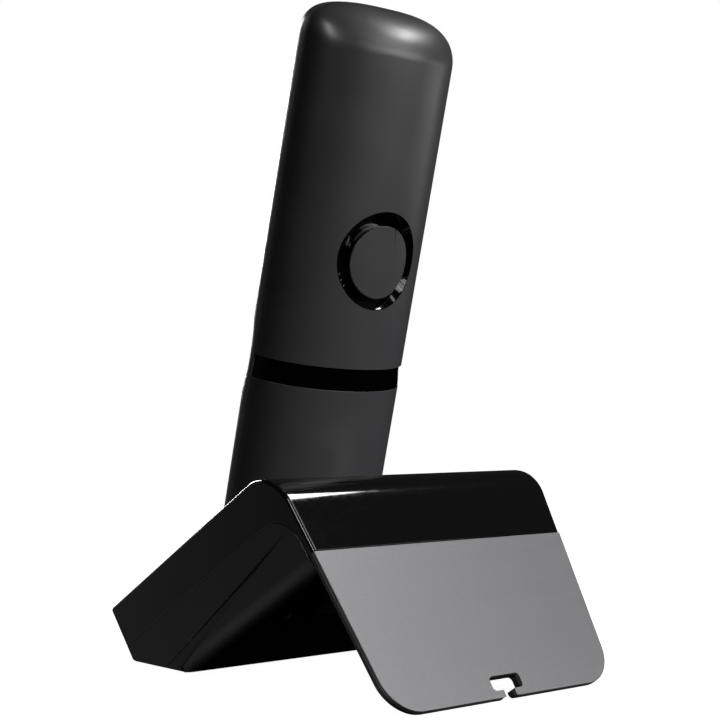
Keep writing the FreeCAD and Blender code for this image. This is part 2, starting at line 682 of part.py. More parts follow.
def make_leg():
    """Dark leg plate with its bosses, silver panel and screws."""
    core = leg_outline("leg_core", "0", "-sizes.leg_thickness", "places.leg_core")
    bosses = [cylinder(f"leg_boss_{name}", LEG_FACE,
                       (x, "sizes.leg_boss_down", "-sizes.leg_thickness - sizes.base_wall"),
                       "sizes.boss_radius - 0.5", "sizes.base_wall + 0.5") for name, x in leg_spots()]
    bores = [cylinder(f"leg_bore_{name}", LEG_FACE,
                      (x, "sizes.leg_boss_down", "-sizes.leg_thickness - sizes.base_wall - 1"),
                      "sizes.screw_shank + sizes.bite", "sizes.leg_screw_length + 0.8")
             for name, x in leg_spots()]
    leg_body = fuse("leg_body", [core] + bosses)
    piece(cut("leg_plate", leg_body, cable_slot("leg_slot", "0") + bores), "rear_leg")
    face = leg_outline("leg_face", "0.05", "-sizes.panel_thickness", "sizes.panel_thickness")
    piece(cut("silver_face", face, cable_slot("panel_slot", "0.1")), "leg_panel")
    screws = []
    seat = "-sizes.leg_thickness - sizes.base_wall"
    for name, x in leg_spots():
        head = cylinder(f"leg_head_{name}", LEG_FACE,
                        (x, "sizes.leg_boss_down", f"{seat} - sizes.screw_head_height"),
                        "sizes.screw_head", "sizes.screw_head_height")
        shank = cylinder(f"leg_shank_{name}", LEG_FACE, (x, "sizes.leg_boss_down", seat),
                         "sizes.screw_shank", "sizes.leg_screw_length - 1")
        screws.append(fuse(f"leg_screw_{name}", [head, shank]))
    piece(group("leg_screw_set", screws), "leg_screws")


# ---------------------------------------------------------------- handset forms
def ellipse_column(name, inset, low, height):
    """Full elliptical column in the handset's frame."""
    rim = doc.addObject("Part::Ellipse", name + "_rim")
    bind(rim, {"MajorRadius": f"places.half_width - ({inset})",
               "MinorRadius": f"sizes.back_depth - ({inset})",
               "Placement": f"{HANDSET} * {moved(z=low)}"})
    column = doc.addObject("Part::Extrusion", name)
    column.Base = rim
    column.DirMode = "Normal"
    column.Solid = True
    column.setExpression("LengthFwd", height)
    return column


def handset_section(name, gap, low, height):
    """Whole cross-section of the handset, grown by a gap: rounded back and flat front."""
    back = ellipse_column(name + "_back", f"-({gap})", low, f"{height}")
    rear_room = box(name + "_room", HANDSET, ("-40", "0", f"{low} - 1"), ("80", "40", f"({height}) + 2"))
    rear = common(name + "_rear", [back, rear_room])
    body = doc.addObject("PartDesign::Body", name + "_front")
    half = f"(places.half_width + ({gap}))"
    front = f"(sizes.front_depth + ({gap}))"
    corners = [(f"-{half}", f"-{front}"), (half, f"-{front}"), (half, "0.01"), (f"-{half}", "0.01")]
    sketch = outline_sketch(body, "XY_Plane", corners)
    padded = pad(body, sketch, height)
    body.setExpression("Placement", f"{HANDSET} * {moved(z=low)}")
    doc.recompute()
    edges = edges_where(padded.Shape, lambda direction, point: abs(direction.z) > 0.9 and point.y < -1)
    round_edges(body, padded, edges, f"sizes.front_round + ({gap})")
    return fuse(name, [rear, body])


def domed_back(name, inset, low):
    """Rounded back of the handset with its domed top, behind the seam."""
    straight = ellipse_column(name + "_straight", inset, low, f"places.dome_low - ({low})")
    rise = f"(sizes.dome_rise - ({inset}))"
    sections = []
    for number, share in enumerate((0, 0.12, 0.26, 0.4, 0.53, 0.65, 0.76, 0.86, 0.93, 0.975, 0.995)):
        ring = doc.addObject("Part::Ellipse", f"{name}_ring_{number}")
        side = f"(1 - {share} ^ sizes.dome_side_power) ^ (1 / sizes.dome_side_power)"
        back = f"(1 - {share} ^ sizes.dome_back_power) ^ (1 / sizes.dome_back_power)"
        bind(ring, {"MajorRadius": f"(places.half_width - ({inset})) * {side}",
                    "MinorRadius": f"(sizes.back_depth - ({inset})) * {back}",
                    "Placement": f"{HANDSET} * {moved(z=f'places.dome_low + {share} * {rise}')}"})
        sections.append(ring)
    dome = doc.addObject("Part::Loft", name + "_dome")
    dome.Sections = sections
    dome.Solid = True
    whole = fuse(name + "_whole", [straight, dome])
    room = box(name + "_room", HANDSET, ("-40", "0", "-5"), ("80", "40", "200"))
    return common(name, [whole, room])


def front_form(name, inset, low, height):
    """Front half of the handset: flat face, arched top, rounded corners."""
    body = doc.addObject("PartDesign::Body", name)
    half = f"(places.half_width - ({inset}))"
    top = f"(sizes.handset_length - ({inset}))"
    crown = f"(sizes.crown_radius - ({inset}))"
    shoulder = f"({top} - {crown} + sqrt({crown} ^ 2 - {half} ^ 2))"
    sketch = body.newObject("Sketcher::SketchObject", name + "_sketch")
    sketch.AttachmentSupport = [(origin_plane(body, "XY_Plane"), "")]
    sketch.MapMode = "FlatFace"
    half_now, top_now, shoulder_now, foot_now = corner_guess((half, top, shoulder, str(inset)))
    corners = [V(-half_now, foot_now, 0), V(half_now, foot_now, 0), V(half_now, shoulder_now, 0),
               V(-half_now, shoulder_now, 0)]
    sketch.addGeometry(Part.LineSegment(corners[0], corners[1]), False)
    sketch.addGeometry(Part.LineSegment(corners[1], corners[2]), False)
    sketch.addGeometry(Part.Arc(corners[2], V(0, top_now, 0), corners[3]), False)
    sketch.addGeometry(Part.LineSegment(corners[3], corners[0]), False)
    joins = ((0, 2, 1, 1), (1, 2, 2, 1), (2, 2, 3, 1), (3, 2, 0, 1))
    for first, first_end, second, second_end in joins:
        sketch.addConstraint(Sketcher.Constraint("Coincident", first, first_end, second, second_end))
    bound = ((0, 1, f"-{half}", inset), (1, 1, half, inset),
             (2, 1, half, shoulder), (3, 1, f"-{half}", shoulder))
    for curve, end, across, up in bound:
        guess = corner_guess((across, str(up)))
        for kind, value, expression in zip(("DistanceX", "DistanceY"), guess, (across, str(up))):
            number = sketch.addConstraint(Sketcher.Constraint(kind, -1, 1, curve, end, value))
            sketch.setExpression(f"Constraints[{number}]", expression)
    number = sketch.addConstraint(Sketcher.Constraint("Radius", 2, corner_guess((crown, "0"))[0]))
    sketch.setExpression(f"Constraints[{number}]", crown)
    padded = pad(body, sketch, height)
    body.setExpression("Placement", f"{HANDSET_FRONT} * {moved(z=low)}")
    doc.recompute()
    middle = size("handset_length") / 2
    lower = edges_where(padded.Shape, lambda direction, point: abs(direction.z) > 0.9 and point.y < middle)
    rounded = round_edges(body, padded, lower, f"sizes.bottom_corner - ({inset})")
    upper = edges_where(rounded.Shape, lambda direction, point: abs(direction.z) > 0.9 and point.y > middle)
    rounded = round_edges(body, rounded, upper, f"sizes.top_corner - ({inset})")
    return body, rounded


def face_rim(shape, height):
    """Names of all the edges of the face at a height."""
    return [f"Edge{number}" for number, edge in enumerate(shape.Edges, start=1)
            if all(abs(vertex.Z - height) < 0.001 for vertex in edge.Vertexes)]


# ---------------------------------------------------------------- handset shells
def key_places():
    """Every key of the handset: label, x, height, width, height, corner radius."""
    keys = []
    names = ("key_star", "key_0", "key_hash", "key_7", "key_8", "key_9", "key_4", "key_5", "key_6",
             "key_1", "key_2", "key_3")
    for number, name in enumerate(names):
        column = number % 3 - 1
        row = number // 3
        keys.append((name, f"{column} * sizes.key_column", f"sizes.first_row + {row} * sizes.key_row",
                     "sizes.key_width", "sizes.key_height", "sizes.key_corner"))
    for sign, call, soft in (("-", "key_talk", "key_soft_left"), ("", "key_end", "key_soft_right")):
        column = f"{sign}sizes.call_column"
        keys.append((call, column, "sizes.call_row", "sizes.call_width", "sizes.call_height",
                     "sizes.call_corner"))
        keys.append((soft, column, "sizes.soft_row", "sizes.call_width", "sizes.soft_height",
                     "sizes.soft_corner"))
    return keys


def make_front_shell():
    """Front shell with its key holes, display recess, earpiece slot and the dip at the waist."""
    body, rounded = front_form("front_outside", "0", "0", "sizes.front_depth")
    rim = face_rim(rounded.Shape, size("front_depth"))
    round_edges(body, rounded, rim, "sizes.front_round")
    wall = "sizes.handset_wall"
    hollow, hollow_rounded = front_form("front_hollow", wall, "-1", f"sizes.front_depth - {wall} + 1")
    rim = face_rim(hollow_rounded.Shape, size("front_depth") - size("handset_wall") + 1)
    round_edges(hollow, hollow_rounded, rim, f"sizes.front_round - {wall}")
    chord = "(sizes.dip_width / 2)"
    dip_radius = f"(({chord} ^ 2 + sizes.dip_depth ^ 2) / (2 * sizes.dip_depth))"
    dip_middle = f"sizes.dip_low + {chord}"
    dip = cylinder("front_dip", HANDSET_FRONT,
                   ("-40", dip_middle, f"sizes.front_depth - sizes.dip_depth + {dip_radius}"),
                   dip_radius, "80", turn="90", about=(0, 1, 0))
    under_dip = cylinder("dip_liner", HANDSET_FRONT,
                         ("-22", dip_middle, f"sizes.front_depth - sizes.dip_depth + {dip_radius}"),
                         f"{dip_radius} + {wall}", "44", turn="90", about=(0, 1, 0))
    liner = common("dip_wall", [under_dip, hollow])
    shell = cut("front_walls", body, [hollow])
    solid = fuse("front_solid", [shell, liner])
    tools = [dip]
    for name, x, z, wide, tall, radius in key_places():
        tools.append(plate(f"{name}_hole", HANDSET_FRONT, (x, z),
                           (f"{wide} + 2 * sizes.key_gap", f"{tall} + 2 * sizes.key_gap"),
                           "1", "sizes.front_depth + 2", f"{radius} + sizes.key_gap"))
    tools.append(plate("rocker_hole", HANDSET_FRONT, ("0", "sizes.call_row"),
                       ("sizes.rocker_width + 2 * sizes.key_gap", "sizes.rocker_height + 2 * sizes.key_gap"),
                       "1", "sizes.front_depth + 2", "sizes.rocker_corner + sizes.key_gap"))
    window_middle = "sizes.window_low + sizes.window_height / 2"
    tools.append(plate("window_recess", HANDSET_FRONT, ("0", window_middle),
                       ("sizes.window_width + 2 * sizes.window_gap",
                        "sizes.window_height + 2 * sizes.window_gap"),
                       "sizes.front_depth - sizes.window_thickness", "4",
                       "sizes.window_corner + sizes.window_gap"))
    tools.append(plate("window_opening", HANDSET_FRONT, ("0", window_middle),
                       ("sizes.window_width - 2 * sizes.window_ledge",
                        "sizes.window_height - 2 * sizes.window_ledge"),
                       "1", "sizes.front_depth + 2", "2"))
    tools.append(plate("earpiece_hole", HANDSET_FRONT, ("0", "sizes.earpiece_height"),
                       ("sizes.earpiece_width", "sizes.earpiece_slit"), "1", "8",
                       "sizes.earpiece_slit / 2 - 0.01"))
    tools.append(cylinder("mouth_hole", HANDSET_FRONT, ("0", "sizes.microphone_height", "1"),
                          "sizes.microphone_hole", "8"))
    piece(cut("front_shell", solid, tools), "handset_front_shell")


def make_back_shell():
    """Back shell: domed upper part, collar under the waist band, battery bay and bottom plate."""
    wall = "sizes.handset_wall"
    outside = domed_back("back_outside", "0", "places.waist_top")
    sleeve = "(sizes.waist_recess + sizes.waist_thickness)"
    inner = domed_back("back_inside", wall, "places.waist_top + 2")
    lip = ellipse_column("lip_inside", f"{sleeve} + {wall}", "places.waist_top - 1", "4")
    upper = cut("back_upper", outside, [inner, lip])
    collar_outer = ellipse_column("collar_outer", sleeve, "0", "places.waist_top + 1")
    collar_inner = ellipse_column("collar_inner", f"{sleeve} + {wall}", "sizes.bottom_plate",
                                  "places.waist_top + 3")
    rear_room = box("collar_room", HANDSET, ("-40", "0", "0"), ("80", "40", "places.waist_top + 1"))
    collar = common("collar_rear", [cut("collar_ring", collar_outer, [collar_inner]), rear_room])
    plate_disc = ellipse_column("bottom_disc", "0", "0", "sizes.bottom_plate")
    plate_room = box("bottom_room", HANDSET, ("-40", "0", "0"), ("80", "40", "sizes.bottom_plate"))
    bottom = common("bottom_rear", [plate_disc, plate_room])
    bay_half = "(sizes.cell_offset + sizes.cell_radius + 0.4)"
    bay_floor = box("bay_floor", HANDSET,
                    (f"-{bay_half} - 1.2", "1.2", "0.5"),
                    (f"2 * {bay_half} + 2.4", "sizes.cell_depth - sizes.cell_radius - 1.3", "places.waist_top"))
    bay_window = box("bay_window", HANDSET,
                     (f"-{bay_half}", "sizes.cell_depth - 1", "sizes.cell_low - 2.4"),
                     (f"2 * {bay_half}", "12", "sizes.cell_length + 4.6"))
    cone_mouth = speaker_cone("ring_seat", "0.05")
    body = fuse("back_body", [upper, collar, bottom, bay_floor])
    piece(cut("back_shell", body, [bay_window, cone_mouth] + pad_wells()), "handset_back_shell")


def speaker_cone(name, gap):
    """Cone that the loudspeaker ring fills, pointing into the back."""
    slope = "((sizes.ring_radius - sizes.ring_floor_radius) / sizes.ring_depth)"
    reach = "2"
    deep = "(sizes.ring_depth + 1)"
    floor = f"(sizes.ring_radius + ({gap}) - {slope} * {deep})"
    mouth = f"(sizes.ring_radius + ({gap}) + {slope} * {reach})"
    return cone(name, HANDSET,
                ("0", f"sizes.back_depth - {deep}", "sizes.speaker_height"),
                floor, mouth, f"{deep} + {reach}", turn="-90")


def make_speaker():
    """Gloss conical ring, its cap and the loudspeaker behind them."""
    skin = domed_back("ring_skin", "0", "places.waist_top")
    solid = common("ring_solid", [speaker_cone("ring_cone", "0"), skin])
    dish = cone("ring_dish", HANDSET,
                ("0", "sizes.back_depth - sizes.ring_depth", "sizes.speaker_height"),
                "sizes.ring_floor_radius - 0.6",
                "sizes.ring_radius - 0.6 + (sizes.ring_radius - sizes.ring_floor_radius) / sizes.ring_depth * 2",
                "sizes.ring_depth + 2", turn="-90")
    piece(cut("ring_shell", solid, [dish]), "speaker_ring")
    cap_skin = domed_back("cap_skin", "0", "places.waist_top")
    post = cylinder("cap_post", HANDSET,
                    ("0", "sizes.back_depth - sizes.ring_depth", "sizes.speaker_height"),
                    "sizes.cap_radius", "10", turn="-90")
    piece(common("cap_shell", [post, cap_skin]), "speaker_cap")
    ringer = cylinder("ringer", HANDSET,
                      ("0", "sizes.back_depth - sizes.ring_depth - 1.1 - sizes.ringer_thickness",
                       "sizes.speaker_height"), "sizes.ringer_radius", "sizes.ringer_thickness", turn="-90")
    piece(ringer, "ringer_speaker")


def make_waist_and_cover():
    """Gloss waist band and the battery cover under it."""
    sleeve = "(sizes.waist_recess + sizes.waist_thickness)"
    outer = ellipse_column("band_outer", "sizes.waist_recess", "sizes.waist_low", "sizes.waist_width")
    inner = ellipse_column("band_inner", f"{sleeve} - 0.05", "sizes.waist_low - 1", "sizes.waist_width + 2")
    room = box("band_room", HANDSET, ("-40", "0.05", "0"), ("80", "40", "100"))
    piece(common("band_rear", [cut("band_ring", outer, [inner]), room]), "waist_band")
    low = "(sizes.bottom_plate + sizes.cover_lift)"
    cover_outer = ellipse_column("cover_outer", "0", low, f"sizes.waist_low - sizes.cover_gap - {low}")
    cover_inner = ellipse_column("cover_inner", "sizes.handset_wall", "0", "sizes.waist_low + 1")
    cover_room = box("cover_room", HANDSET, ("-40", "0.05", "0"), ("80", "40", "100"))
    piece(common("cover_rear", [cut("cover_ring", cover_outer, [cover_inner]), cover_room]), "battery_cover")


# ---------------------------------------------------------------- handset: keys and mats
def make_keys():
    """Every key: a cap proud of the face and a flange behind it."""
    for name, x, z, wide, tall, radius in key_places():
        cap = plate(f"{name}_cap", HANDSET_FRONT, (x, z), (wide, tall),
                    "places.key_back - sizes.key_flange",
                    "sizes.front_depth + sizes.key_proud - places.key_back + sizes.key_flange", radius)
        flange = plate(f"{name}_flange", HANDSET_FRONT, (x, z), (f"{wide} + 1", f"{tall} + 1"),
                       "places.key_back - sizes.key_flange", "sizes.key_flange", radius)
        piece(fuse(f"{name}_solid", [cap, flange]), name)
    cap = plate("rocker_cap", HANDSET_FRONT, ("0", "sizes.call_row"),
                ("sizes.rocker_width", "sizes.rocker_height"),
                "places.key_back - sizes.key_flange",
                "sizes.front_depth + sizes.key_proud - places.key_back + sizes.key_flange",
                "sizes.rocker_corner")
    piece(cap, "nav_rocker")


def make_mats():
    """Rubber mats that return the keys."""
    rows = "(3 * sizes.key_row + sizes.key_height + 3)"
    middle = "sizes.first_row + 1.5 * sizes.key_row"
    low = "sizes.board_front"
    piece(plate("keypad_rubber", HANDSET_FRONT, ("0", middle), ("40", rows), low, "sizes.mat_thickness", "2"),
          "keypad_mat")
    piece(plate("nav_rubber", HANDSET_FRONT, ("0", "(sizes.call_row + sizes.soft_row) / 2 + 0.3"),
                ("40", "sizes.soft_row - sizes.call_row + 11.5"), low, "sizes.mat_thickness", "2"), "nav_mat")


# ---------------------------------------------------------------- handset: display, sound and board
def make_front_fittings():
    """Display window, display module, earpiece and microphone."""
    middle = "sizes.window_low + sizes.window_height / 2"
    piece(plate("window", HANDSET_FRONT, ("0", middle), ("sizes.window_width", "sizes.window_height"),
                "sizes.front_depth - sizes.window_thickness", "sizes.window_thickness", "sizes.window_corner"),
          "display_window")
    back = "sizes.front_depth - sizes.handset_wall - 0.05"
    piece(plate("display", HANDSET_FRONT, ("0", middle),
                ("sizes.window_width - 1", "sizes.window_height - 1"),
                "sizes.board_front", f"{back} - sizes.board_front"), "display_module")
    piece(plate("grille", HANDSET_FRONT, ("0", "sizes.earpiece_height"),
                ("sizes.earpiece_width + 2", "sizes.earpiece_slit + 2"), f"{back} - 0.3", "0.3"),
          "earpiece_grille")
    piece(cylinder("receiver", HANDSET_FRONT,
                   ("0", "sizes.earpiece_height - sizes.receiver_drop", "sizes.receiver_back"),
                   "sizes.receiver_radius", f"{back} - sizes.receiver_back - 0.35"),
          "earpiece_receiver")
    piece(cylinder("mouthpiece", HANDSET_FRONT, ("0", "sizes.microphone_height", "sizes.board_front"),
                   "sizes.microphone_radius",
                   f"{back} - sizes.board_front"), "microphone")


def make_board():
    """Handset circuit board, its shield and the aerial."""
    board_low = "sizes.board_front - sizes.board_thickness"
    low = "sizes.handset_board_low"
    high = "(sizes.earpiece_height - sizes.receiver_drop - sizes.receiver_radius - sizes.board_end_gap)"
    board = plate("board", HANDSET_FRONT, ("0", f"({low} + {high}) / 2"),
                  ("sizes.handset_board_width", f"{high} - {low}"), board_low,
                  "sizes.board_thickness", "3")
    piece(board, "handset_board")
    shield = plate("shield", HANDSET_FRONT, ("0", "sizes.shield_height"),
                   ("sizes.shield_width", "sizes.shield_length"),
                   f"{board_low} - sizes.shield_thickness", "sizes.shield_thickness", "1")
    piece(shield, "board_shield")
    aerial = box("aerial_strip", HANDSET,
                 ("-sizes.aerial_width / 2", "sizes.board_thickness - sizes.board_front + 1.2",
                  "sizes.aerial_height"),
                 ("sizes.aerial_width", "1", "5"))
    stem = box("aerial_stem", HANDSET,
               ("-sizes.aerial_width / 2", "-(sizes.board_front - sizes.board_thickness)",
                "sizes.aerial_height"),
               ("2", "2.4", "2"))
    piece(fuse("aerial", [aerial, stem]), "handset_antenna")


def make_power():
    """Cells, their contacts and the charging pads."""
    cells = []
    contacts = []
    for name, sign in (("left", "-"), ("right", "")):
        x = f"{sign}sizes.cell_offset"
        can = cylinder(f"cell_{name}", HANDSET, (x, "sizes.cell_depth", "sizes.cell_low"),
                       "sizes.cell_radius", "sizes.cell_length - 1")
        nub = cylinder(f"nub_{name}", HANDSET, (x, "sizes.cell_depth", "sizes.cell_low + sizes.cell_length - 1"),
                       "1.9", "1")
        cells.append(fuse(f"cell_solid_{name}", [can, nub]))
        for end, low in (("low", "sizes.cell_low - 1.5"), ("high", "sizes.cell_low + sizes.cell_length + 0.05")):
            contacts.append(box(f"contact_{name}_{end}", HANDSET, (f"{x} - 3.5", "sizes.cell_depth - 5", low),
                                ("7", "8", "0.5")))
        contacts.append(cylinder(f"spring_{name}", HANDSET, (x, "sizes.cell_depth", "sizes.cell_low - 1"),
                                 "2.5", "0.95"))
    piece(group("cell_pair", cells), "battery_cells")
    piece(group("contact_set", contacts), "battery_contacts")
    pads = [box(f"pad_{name}", HANDSET,
                (f"{sign}sizes.pad_offset - sizes.pad_size / 2", "sizes.pad_depth - sizes.pad_size / 2", "0"),
                ("sizes.pad_size", "sizes.pad_size", "0.8")) for name, sign in (("left", "-"), ("right", ""))]
    piece(group("pad_pair", pads), "charge_pads")


def pad_wells():
    """Wells of the bottom plate that hold the charging pads."""
    return [box(f"pad_well_{name}", HANDSET,
                (f"{sign}sizes.pad_offset - sizes.pad_size / 2 - 0.02",
                 "sizes.pad_depth - sizes.pad_size / 2 - 0.02", "-1"),
                ("sizes.pad_size + 0.04", "sizes.pad_size + 0.04", "1.8"))
            for name, sign in (("left", "-"), ("right", ""))]


# ---------------------------------------------------------------- base: pocket, pins, page key
def make_cup():
    """Liner of the pocket, cut flush with the slanted top face."""
    outer = handset_section("cup_outer", "sizes.pocket_gap + sizes.cup_wall",
                            "-sizes.cup_floor - sizes.seat_gap", "70")
    inner = handset_section("cup_inner", "sizes.pocket_gap", "-sizes.seat_gap", "90")
    below = box("under_top", SLAB, ("-60", "-20", "-60"), ("120", "160", "60"))
    bores = [cylinder(f"cup_bore_{name}", HANDSET, (f"{sign}sizes.pad_offset", "sizes.pad_depth", "-10"),
                      "sizes.pin_radius + 2 * sizes.pin_bore_gap", "12")
             for name, sign in (("left", "-"), ("right", ""))]
    flush = common("cup_flush", [outer, below])
    piece(cut("cup", flush, [inner] + bores), "cradle_cup")


def make_pins():
    """Two sprung charging pins and the block that guides them."""
    floor = "-(sizes.cup_floor + sizes.seat_gap)"
    bores = []
    for name, sign in (("left", "-"), ("right", "")):
        x = f"{sign}sizes.pad_offset"
        collar_top = f"{floor} - 1.6"
        tip = cylinder(f"pin_tip_{name}", HANDSET, (x, "sizes.pad_depth", f"{collar_top} - 1"),
                       "sizes.pin_radius", f"-({collar_top}) + 1 - sizes.pin_gap")
        collar = cylinder(f"pin_collar_{name}", HANDSET, (x, "sizes.pad_depth", f"{collar_top} - 1"),
                          "sizes.pin_collar", "1")
        piece(fuse(f"pin_{name}", [tip, collar]), f"charge_pin_{name}")
        bores.append(cylinder(f"guide_{name}", HANDSET, (x, "sizes.pad_depth", f"{floor} - 3"),
                              "sizes.pin_radius + sizes.pin_bore_gap", "4"))
        bores.append(cylinder(f"barrel_{name}", HANDSET, (x, "sizes.pad_depth", f"{collar_top} - 4.5"),
                              "sizes.pin_collar + 0.1", "4.5"))
    block = box("carrier_block", HANDSET,
                ("-sizes.pad_offset - 4", "sizes.pad_depth - 4", f"{floor} - sizes.carrier_height"),
                ("2 * sizes.pad_offset + 8", "8", "sizes.carrier_height"))
    piece(cut("carrier", block, bores), "pin_carrier")


def make_page_key():
    """Page key, its switch and the charging light."""
    cap = plate("page_cap", SLAB, ("0", "sizes.page_up"), ("sizes.page_width", "sizes.page_height"),
                "-sizes.base_wall - 1", "sizes.base_wall + 1 + sizes.page_proud",
                "sizes.page_height / 2 - 0.01")
    flange = plate("page_flange", SLAB, ("0", "sizes.page_up"),
                   ("sizes.page_width + 2", "sizes.page_height + 1.6"),
                   "-sizes.base_wall - 1", "0.95", "sizes.page_height / 2 - 0.01")
    piece(fuse("page_solid", [cap, flange]), "page_key")
    gap = "sizes.page_travel + 0.15"
    switch = plate("switch_body", SLAB, ("0", "sizes.page_up"), ("6", "6"),
                   f"-sizes.base_wall - 1 - ({gap}) - 3", "3")
    piece(switch, "page_switch")
    stem = cylinder("light_stem", SLAB, ("sizes.light_offset", "sizes.page_up", "-sizes.base_wall - 3"),
                    "sizes.light_radius", "sizes.base_wall + 3")
    piece(stem, "charge_light")
    board = plate("key_board", SLAB, ("3", "sizes.page_up"), ("30", "9"),
                  f"-sizes.base_wall - 1 - ({gap}) - 4.2", "1.2")
    piece(board, "page_board")


# ---------------------------------------------------------------- base: board and sockets
def make_base_board():
    """Main board of the base with its parts and aerial, parallel to the underside."""
    low = "-sizes.slab_thickness + sizes.board_lift"
    board = plate("main_board", SLAB, ("0", "sizes.board_up"), ("sizes.board_width", "sizes.board_length"),
                  low, "sizes.base_board_thickness", "1.5")
    piece(board, "base_board")
    top = f"{low} + sizes.base_board_thickness"
    parts = [plate("chip", SLAB, ("2", "sizes.board_up - 6"), ("9", "9"), top, "1"),
             plate("radio_can", SLAB, ("-20", "sizes.board_up - 4"), ("14", "11"), top, "2.4", "1"),
             cylinder("capacitor", SLAB, ("20", "sizes.board_up - 5", top), "3.2", "6")]
    piece(group("board_parts", parts), "base_board_parts")
    strip = box("aerial_up", SLAB, ("26.5", "sizes.board_up + 8", top), ("1", "1", "9"))
    arm = box("aerial_arm", SLAB, ("26.5", "sizes.board_up - 4", f"{top} + 8"), ("1", "13", "1"))
    piece(fuse("base_aerial", [strip, arm]), "base_antenna")


def socket_mouths():
    """Mouths of both sockets through the wall of the bay."""
    middle = "places.socket_middle"
    line = box("line_mouth", UPRIGHT,
               ("-sizes.line_offset - sizes.line_width / 2", "places.bay_front - 6",
                f"{middle} - sizes.line_height / 2"), ("sizes.line_width", "7", "sizes.line_height"))
    inlet = cylinder("inlet_mouth", UPRIGHT, ("sizes.line_offset", "places.bay_front + 1", middle),
                     "sizes.inlet_radius", "7", turn="90")
    return [line, inlet]


def make_sockets():
    """Line socket and power inlet in the bay under the base."""
    middle = "places.socket_middle"
    wall = "sizes.socket_wall"
    back = "places.bay_front - sizes.base_wall - sizes.socket_gap"
    line_body = box("line_block", UPRIGHT,
                    (f"-sizes.line_offset - sizes.line_width / 2 - {wall}", f"{back} - sizes.line_depth",
                     f"{middle} - sizes.line_height / 2 - {wall}"),
                    (f"sizes.line_width + 2 * {wall}", "sizes.line_depth", f"sizes.line_height + 2 * {wall}"))
    line_cave = box("line_cave", UPRIGHT,
                    ("-sizes.line_offset - sizes.line_width / 2", f"{back} - sizes.line_depth + {wall}",
                     f"{middle} - sizes.line_height / 2"),
                    ("sizes.line_width", "sizes.line_depth", "sizes.line_height"))
    piece(cut("line_jack", line_body, [line_cave]), "line_socket")
    inlet_body = box("inlet_block", UPRIGHT,
                     (f"sizes.line_offset - sizes.inlet_radius - {wall}", f"{back} - sizes.inlet_depth",
                      f"{middle} - sizes.inlet_radius - {wall}"),
                     (f"2 * sizes.inlet_radius + 2 * {wall}", "sizes.inlet_depth",
                      f"2 * sizes.inlet_radius + 2 * {wall}"))
    inlet_cave = cylinder("inlet_cave", UPRIGHT, ("sizes.line_offset", f"{back} + 1", middle),
                          "sizes.inlet_radius", f"sizes.inlet_depth - {wall} + 1", turn="90")
    piece(cut("inlet_jack", inlet_body, [inlet_cave]), "power_inlet")


# ---------------------------------------------------------------- build, test and write
make_base_shells()
make_base_screws()
make_feet()
make_leg()
make_cup()
make_pins()
make_page_key()
make_base_board()
make_sockets()
make_front_shell()
make_back_shell()
make_waist_and_cover()
make_speaker()
make_keys()
make_mats()
make_front_fittings()
make_board()
make_power()
doc.recompute()

for target in doc.Objects:
    failed = [state for state in target.State if state in ("Invalid", "Error")]
    if failed:
        raise RuntimeError(f"{target.Name} is {failed[0]}")
for target in PIECES:
    shape = target.Shape
    if shape.isNull() or not shape.isValid() or not shape.Solids:
        raise RuntimeError(f"{target.Label} has no sound shape")

os.makedirs("parts", exist_ok=True)
for target in PIECES:
    target.Shape.exportStep(f"parts/{target.Label}.step")
    print(f"{target.Label}: {len(target.Shape.Solids)} solid(s), {target.Shape.Volume:.1f} mm3")
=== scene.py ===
# %% [markdown]
# # A cordless phone standing in its folded base
# The phone has two bodies of plastic: a slim handset with a rounded back, and a base that is folded
# like a tent, with a slanted block in front and a thin silver leg behind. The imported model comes
# first, because it says where everything is and what moves. Everything made below fits it.

# %% load the frame
import json
import math
import bmesh
import bpy
from mathutils import Matrix, Vector


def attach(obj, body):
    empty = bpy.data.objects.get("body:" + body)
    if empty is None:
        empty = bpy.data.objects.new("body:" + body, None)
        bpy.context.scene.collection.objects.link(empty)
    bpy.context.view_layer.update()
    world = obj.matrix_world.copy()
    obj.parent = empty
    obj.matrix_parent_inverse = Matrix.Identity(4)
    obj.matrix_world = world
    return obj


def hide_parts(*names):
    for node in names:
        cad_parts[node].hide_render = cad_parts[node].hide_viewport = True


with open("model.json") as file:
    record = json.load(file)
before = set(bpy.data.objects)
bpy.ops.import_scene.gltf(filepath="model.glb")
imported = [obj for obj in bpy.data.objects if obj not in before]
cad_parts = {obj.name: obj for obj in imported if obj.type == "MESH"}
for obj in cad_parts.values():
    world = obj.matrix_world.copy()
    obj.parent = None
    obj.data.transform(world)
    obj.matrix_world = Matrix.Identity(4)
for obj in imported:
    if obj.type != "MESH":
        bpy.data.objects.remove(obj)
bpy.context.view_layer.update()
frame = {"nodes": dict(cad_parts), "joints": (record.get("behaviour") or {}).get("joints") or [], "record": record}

# %% [markdown]
# ## Sizes and leaning frames
# Plastic parts are drawn in millimetres, so the pieces are modelled in millimetres as well, and one
# matrix brings each to metres and to its place. The handset leans, the top face of the base rises,
# and the leg falls, so each has a matrix of its own: local Z is square to the face, or runs up the
# handset. The lean is read from the joint that lifts the handset, so it can't drift from the frame.

# %% sizes in millimetres and the three leaning frames
MM = 0.001
TO_METRES = Matrix.Scale(MM, 4)

BASE_DEPTH = 114.9
HALF_DEPTH = BASE_DEPTH / 2
TABLE_HALF_WIDTH = 36.8
FLANK_DRAFT = math.radians(8.3)
FRONT_HEIGHT = 14.55
TOP_SLOPE = math.radians(27.9)
LEG_SLOPE = math.radians(57.17)
FRONT_SLOPE = math.radians(58.5)
SLAB = 28.2
BAND_HEIGHT = 36.8
LEG_THICKNESS = 2.9
PANEL_THICKNESS = 1.0
SKIRT = 11.5
BASE_WALL = 2.2
SOLE = 0.5

